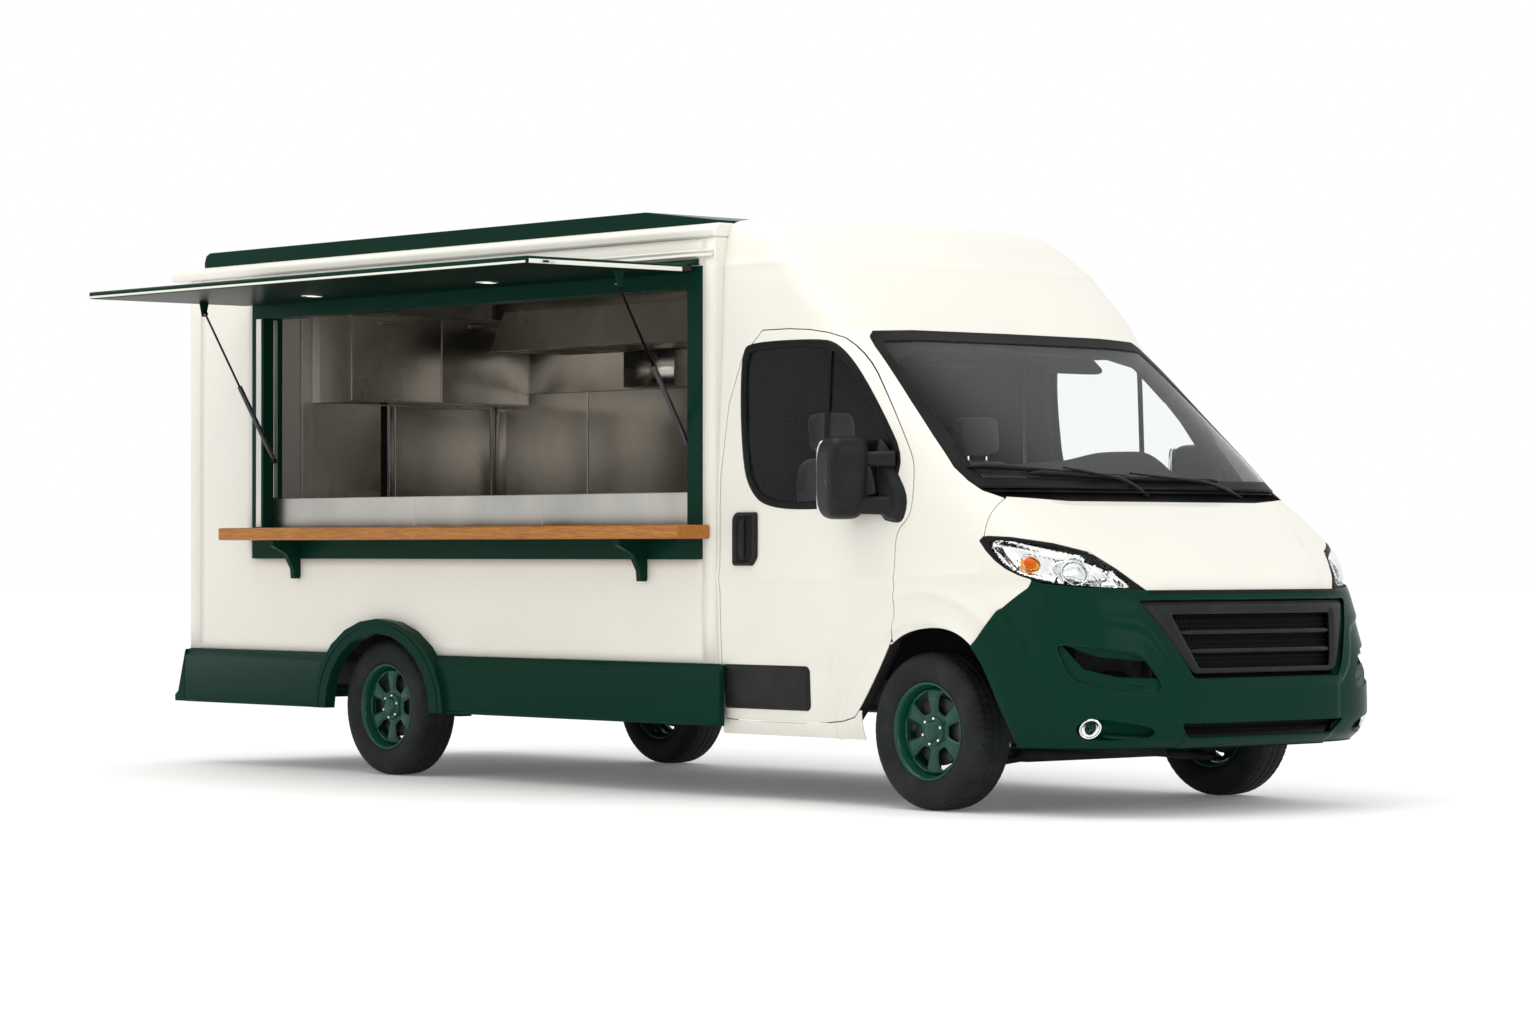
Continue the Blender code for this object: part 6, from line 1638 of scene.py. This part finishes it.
flare_gap = flare_arch(0.50, 0.41, 40)
flare_gap = np.vstack((flare_gap, (flare_gap[-1, 0], 0.30), (flare_gap[0, 0], 0.30)))
for (side, y), opening in zip(SIDES, (WINDOW_EDGES, SIDE_DOOR_EDGES)):
    flank, quads, _ = trimmed_grid([dense(four_corners(*FLANK_EDGES))],
                                   [dense(flare_gap), dense(four_corners(*opening))], 0.055)
    places = np.column_stack((flank[:, 0], np.full(len(flank), FLANK_FACE * y), flank[:, 1]))
    quads = outward_quads(places, quads, np.array((-4.0, 0.0, 1.0)))
    thickened(new_piece("flank_skin_" + side, places, quads, CREAM, slot="cream_paint"), 0.0006)

(DOOR_REAR, DOOR_FOOT), (DOOR_FRONT, DOOR_TOP) = (-2.62, 0.66), (-1.86, 2.42)
SEAM, FRAME_WIDTH = 0.007, 0.03
for part, low, high in (
    ("low", (DOOR_REAR - FRAME_WIDTH, DOOR_FOOT - FRAME_WIDTH), (DOOR_FRONT + FRAME_WIDTH, DOOR_FOOT - SEAM)),
    ("high", (DOOR_REAR - FRAME_WIDTH, DOOR_TOP + SEAM), (DOOR_FRONT + FRAME_WIDTH, DOOR_TOP + FRAME_WIDTH)),
    ("rear", (DOOR_REAR - FRAME_WIDTH, DOOR_FOOT - SEAM), (DOOR_REAR - SEAM, DOOR_TOP + SEAM)),
):
    pressed_sheet("side_door_frame_" + part, (high[0], 1.04, low[1]), (low[0] - high[0], 0, 0),
                  (0, 0, high[1] - low[1]), 0.0035, CREAM, "cream_paint", rim=0.003)
places, faces = rounded_form((0.024, 0.020, 0.108), 4.0, 24)
new_piece("side_door_grip", places + (-2.55, 1.052, 1.45), faces, BLACK_PLASTIC, "side_door", "black_plastic",
          closed=True)


# Roof cap, skirts and rear bumper.
# Sprayed dark green mouldings of glass-fibre, screwed on from behind: the low cap along the roof, the
# skirts with their bevelled upper band and wheel flares, and the step bumper across the back.

joined_copy("roof_cap", GREEN, width=0.012, segments=3)
for name in ("skirt_left", "skirt_right"):
    joined_copy(name, GREEN, width=0.0035, segments=3)
joined_copy("rear_bumper", GREEN, width=0.006, segments=3)


for side, y in SIDES:
    arch = flare_arch(0.515, 0.430, 60)
    bead = np.stack((arch[:, 0], np.full(60, 1.1045 * y), arch[:, 1] + 0.004), 1)
    new_piece("flare_bead_" + side, *tube(bead, 0.006, 10), GREEN, slot="green_paint", closed=True)
    lip = np.array((
        (1.068, 0.3365), (1.0765, 0.3345), (1.0785, 0.340), (1.0765, 0.3475), (1.0745, 0.349),
    )) * (y, 1.0)
    for part, ends in (("rear", (-5.765, -4.54)), ("front", (-3.41, -1.325))):
        drawn_strip("skirt_lip_%s_%s" % (part, side), lip, ends, "x", GREEN, "green_paint", thickness=0.0015)

RED_LENS = glass_finish("red lamp glass", (0.55, 0.02, 0.015), 0.12)
LAMP_BACK = moulded_finish("lamp back", (0.25, 0.02, 0.015), 0.30, 60.0, 0.5, 0.02, 0.5)
PLATE_WHITE = moulded_finish("blank plate", (0.72, 0.72, 0.70), 0.40, 300.0, 0.05, 0.08)
LAMP_PROUD = 0.010
for side, y in SIDES:
    def lamp_sheet(part, rear, inner, outer, low, high, finish):
        pressed_sheet("tail_lamp_%s_%s" % (part, side), (rear, max(inner * y, outer * y), low),
                      (0, inner - outer, 0), (0, 0, high - low), LAMP_PROUD, finish, "lamp", rim=0.008)

    lamp_sheet("bed", REAR_FACE, 0.87, 0.945, 0.72, 0.98, LAMP_BACK)
    for part, low, high, finish in (
        ("stop", 0.815, 0.975, RED_LENS), ("turn", 0.77, 0.812, AMBER), ("reverse", 0.725, 0.767, LENS),
    ):
        lamp_sheet(part, REAR_FACE - LAMP_PROUD, 0.873, 0.942, low, high, finish)
pressed_sheet("rear_plate", (REAR_FACE, 0.26, 0.66), (0, -0.52, 0), (0, 0, 0.11), 0.004, PLATE_WHITE,
              "cream_paint")


# Service window.
# A green painted aluminium frame lines the opening in the right side. Its cast feet carry the shelf,
# and bare aluminium strips guide the hatch at the jambs.

joined_copy("window_frame", GREEN, width=0.003)
joined_copy("hatch_hinge", GREEN, width=0.002)


def brushed_metal_group():
    """Colour, roughness and normal of brushed sheet metal: streaks along one way, and clouds."""
    tree, ins, outs = new_group(
        "brushed metal", [("Color", "Color", (0.5, 0.5, 0.5, 1.0)), ("Roughness", "Float", 0.3)], SURFACE,
    )
    streaks = noise(tree, 30.0, 4.0, (30.0, 30.0, 0.6))
    clouds = noise(tree, 1.6, 3.0, (1.0, 1.0, 0.5))
    fine, wide = ranged(tree, streaks, 0.3, 0.7, 0.88, 1.08), ranged(tree, clouds, 0.3, 0.7, 0.72, 1.15)
    smears = ranged(tree, clouds, 0.3, 0.7, 0.75, 1.35)
    return hand_out(
        tree, outs, Color=toned(tree, ins.outputs["Color"], maths(tree, "MULTIPLY", fine, wide)),
        Roughness=maths(tree, "MULTIPLY", smears, ins.outputs["Roughness"]),
        Normal=bumped(tree, streaks, 0.12, 0.0006),
    )


BRUSHED = brushed_metal_group()


def brushed_finish(name, colour, roughness):
    """A bare metal with fine brushed streaks."""
    return new_finish(name, BRUSHED, {"Metallic": 1.0}, Color=colour, Roughness=roughness)


ALUMINIUM = brushed_finish("bare aluminium", (0.72, 0.71, 0.68), 0.42)
pressed_sheet("jamb_strip_face", (-5.137, -1.0455, 1.27), (0.046, 0, 0), (0, 0, 1.10), 0.001, ALUMINIUM,
              "stainless", rim=0.001)
pressed_sheet("jamb_strip_rear", (-5.07, -0.982, 1.425), (0, 0.026, 0), (0, 0, 0.94), 0.003, ALUMINIUM,
              "stainless", rim=0.002)


# Hatch, its hinge and struts.
# The hatch is a flat bonded panel in gloss green with a cream strip let into its outer edges. Its
# underside is a darker copy of the green: painted shade. Two round lamps shine down from it, and two
# gas struts hold it up.

# Painted shade: a darker copy of the green for the hatch's underside, which hangs in shade.
SHADED_UNDERSIDE_GREEN = sprayed_finish("green with painted shade", (0.0015, 0.011, 0.007), 0.0, 0.30, 0.0, 0.01)
joined_copy("hatch", GREEN, width=0.002)
HATCH_X, HATCH_Y, HATCH_UNDERSIDE = (-5.17, -1.5), (-2.06, -1.085), 2.44
for part, corner, across, up, proud, rim, finish, slot in (
    ("edge_strip", (HATCH_X[0] + 0.01, HATCH_Y[0], 2.443), (3.65, 0, 0), (0, 0, 0.011), 0.002, 0.002,
     CREAM, "cream_paint"),
    ("end_strip", (HATCH_X[1], HATCH_Y[0] + 0.012, 2.442), (0, 0.90, 0), (0, 0, 0.020), 0.002, 0.002,
     CREAM, "cream_paint"),
    ("end_strip_rear", (HATCH_X[0], HATCH_Y[1] - 0.06, 2.442), (0, -0.90, 0), (0, 0, 0.020), 0.002, 0.002,
     CREAM, "cream_paint"),
    ("end_cap", (HATCH_X[1], -1.145, 2.443), (0, 0.050, 0), (0, 0, 0.026), 0.006, 0.003,
     BLACK_PLASTIC, "black_plastic"),
    ("latch_plate", (HATCH_X[1], -1.985, 2.445), (0, 0.085, 0), (0, 0, 0.015), 0.005, 0.002,
     ALUMINIUM, "stainless"),
    ("underside", (HATCH_X[0] + 0.015, HATCH_Y[1] - 0.012, HATCH_UNDERSIDE), (3.64, 0, 0), (0, -0.95, 0),
     0.0015, 0.004, SHADED_UNDERSIDE_GREEN, "green_paint"),
):
    pressed_sheet("hatch_" + part, corner, across, up, proud, finish, slot, "hatch", rim=rim)
places, faces = rounded_form((0.006, 0.018, 0.005), 4.0, 16)
new_piece("hatch_latch", places + (HATCH_X[1] + 0.005, -1.955, 2.4525), faces, BLACK_PLASTIC, "hatch",
          "black_plastic", closed=True)
LIGHT_RING = [(0.048, 0.004), (0.050, -0.004), (0.054, -0.006), (0.058, -0.003), (0.059, 0.004)]
LIGHT_LENS = [(0.049, 0.003), (0.049, -0.001), (0.035, -0.004), (0.018, -0.0055), (0.001, -0.006)]
GLOW = new_finish(
    "lit frosted glass", MOULDED, {"Emission Strength": 1.4, "Emission Color": (1.0, 0.97, 0.90)},
    Color=(0.9, 0.9, 0.88), Roughness=0.4, Grain=120.0, Depth=0.1, Dust=0.0,
)
for number, (x, y) in enumerate(((-4.17, -1.36), (-2.71, -1.36))):
    for part, profile, finish in (("ring", LIGHT_RING, CHROME), ("lens", LIGHT_LENS, GLOW)):
        local, faces = turned(profile, looped=part == "ring")
        new_piece("hatch_light_%s_%d" % (part, number + 1), local + (x, y, HATCH_UNDERSIDE), faces, finish,
                  "hatch", "lamp", closed=True)
STRUT_BLACK = moulded_finish("gas strut enamel", (0.008, 0.012, 0.011), 0.22, 300.0, 0.03, 0.03, 0.6)
STRUT_STEEL = brushed_finish("ground strut rod", (0.10, 0.11, 0.11), 0.18)
for name in ("strut_tube_front", "strut_tube_rear"):
    joined_copy(name, STRUT_BLACK, width=0.001)
for name in ("strut_rod_front", "strut_rod_rear"):
    joined_copy(name, STRUT_STEEL)


# Shelf.
# One oiled oak board, planed and rounded at its edges, is screwed to two cast feet of the window
# frame. Its grain runs along it, in wavering darker lines.

def wood_group():
    """Colour, roughness and normal of oiled wood: growth rings drawn long, wavering, with fine pores."""
    tree, ins, outs = new_group(
        "oiled wood",
        [("Color", "Color", (0.5, 0.25, 0.08, 1.0)), ("Dark", "Color", (0.2, 0.08, 0.02, 1.0))], SURFACE,
    )
    bands = noise(tree, 9.0, 5.0, (0.22, 3.0, 4.0))
    pores = noise(tree, 90.0, 2.0, (0.12, 3.0, 3.0))
    lines = maths(tree, "FRACT", maths(tree, "MULTIPLY", bands, 7.0), 0.0)
    grain = ranged(tree, lines, 0.0, 0.9, 0.0, 0.55)
    base = blend_colours(tree, grain, ins.outputs["Color"], ins.outputs["Dark"])
    return hand_out(
        tree, outs, Color=toned(tree, base, ranged(tree, pores, 0.35, 0.65, 0.80, 1.10)),
        Roughness=ranged(tree, pores, 0.3, 0.7, 0.55, 0.36), Normal=bumped(tree, pores, 0.25, 0.0008),
    )


OAK = new_finish("oiled oak", wood_group(), {"Specular IOR Level": 0.3}, Color=(0.47, 0.185, 0.030),
                 Dark=(0.24, 0.075, 0.008))
joined_copy("shelf", OAK, width=0.002)


# Kitchen inside.
# Counters, cupboards, hood and wall lining are folded from brushed stainless sheet. Door fronts stand
# a few millimetres proud with dark gaps between them, and pull by folded lips.

STAINLESS = brushed_finish("brushed stainless", (0.56, 0.53, 0.48), 0.24)
BRIGHT_STEEL = brushed_finish("bright brushed stainless", (0.50, 0.49, 0.455), 0.30)
for name in ("right_counter", "left_counter", "lining_and_hood", "overhead_cupboard"):
    joined_copy(name, STAINLESS, width=0.0015)


def front_row(name, corner, across, up, count, finish, gap=0.008):
    """A row of equal door fronts along a face, each with a folded pull under its upper edge."""
    across, up = np.array(across, float), np.array(up, float)
    run = across / np.linalg.norm(across)
    width = np.linalg.norm(across) / count - gap
    for number in range(count):
        start = np.array(corner, float) + run * (number * (width + gap) + gap / 2)
        pressed_sheet("%s_%d" % (name, number + 1), start, run * width, up, 0.004, finish, "stainless",
                      rim=0.003)
        pull = start + run * (width * 0.30) + up * 0.90
        pressed_sheet("%s_pull_%d" % (name, number + 1), pull, run * width * 0.40, unit(up) * 0.022, 0.018,
                      BRIGHT_STEEL, "stainless", rim=0.008)


front_row("cupboard_door", (-5.390, -0.255, 1.966), (0, 1.225, 0), (0, 0, 0.465), 2, STAINLESS)
front_row("left_counter_door", (-5.10, 0.3697, 0.70), (2.32, 0, 0), (0, 0, 0.58), 4, STAINLESS)
front_row("right_counter_door", (-1.605, -0.42, 0.70), (-1.70, 0, 0), (0, 0, 0.58), 3, STAINLESS)
pressed_sheet("left_worktop", (-5.71, 0.355, 1.4195), (2.93, 0, 0), (0, 0.63, 0), 0.004, BRIGHT_STEEL,
              "stainless")
pressed_sheet("switch_box", (-4.44, 0.977, 2.035), (0.44, 0, 0), (0, 0, 0.20), 0.09, STAINLESS, "stainless",
              rim=0.006)
REAR_LINING = -5.7075
for name, low, high, proud, finish in (
    ("rear_lining_post", (-0.355, 1.43), (-0.285, 2.55), 0.004, ALUMINIUM),
    # Painted shade: a black strip beside the rail, for the shade in the channel.
    ("rear_lining_channel", (0.178, 1.425), (0.222, 1.955), 0.003, BLACK_PLASTIC),
    ("rear_lining_rail", (0.228, 1.425), (0.262, 1.955), 0.010, BRIGHT_STEEL),
    ("rear_lining_sheet", (0.275, 1.43), (0.94, 1.95), 0.003, STAINLESS),
    ("rear_lining_corner", (0.948, 1.425), (0.974, 2.56), 0.006, BRIGHT_STEEL),
):
    pressed_sheet(name, (REAR_LINING, *low), (0, high[0] - low[0], 0), (0, 0, high[1] - low[1]), proud,
                  finish, "stainless")
for number, (rear, front) in enumerate(((-5.60, -4.86), (-4.85, -3.96), (-3.95, -2.79))):
    pressed_sheet("left_lining_sheet_%d" % (number + 1), (rear, 0.9770, 1.43), (front - rear, 0, 0),
                  (0, 0, 0.60), 0.002, STAINLESS, "stainless")
for number, (rear, front) in enumerate(((-5.068, -3.81), (-3.806, -2.76), (-2.756, -1.588))):
    pressed_sheet("apron_sheet_%d" % (number + 1), (rear, -0.985, 1.268), (front - rear, 0, 0), (0, 0, 0.150),
                  0.002, BRIGHT_STEEL, "stainless", rim=0.002)
for number in range(4):
    pressed_sheet("hood_filter_%d" % (number + 1), (-5.0 + number * 0.41, 0.96, 2.2395), (0.39, 0, 0),
                  (0, -0.48, 0), 0.004, BRIGHT_STEEL, "stainless")
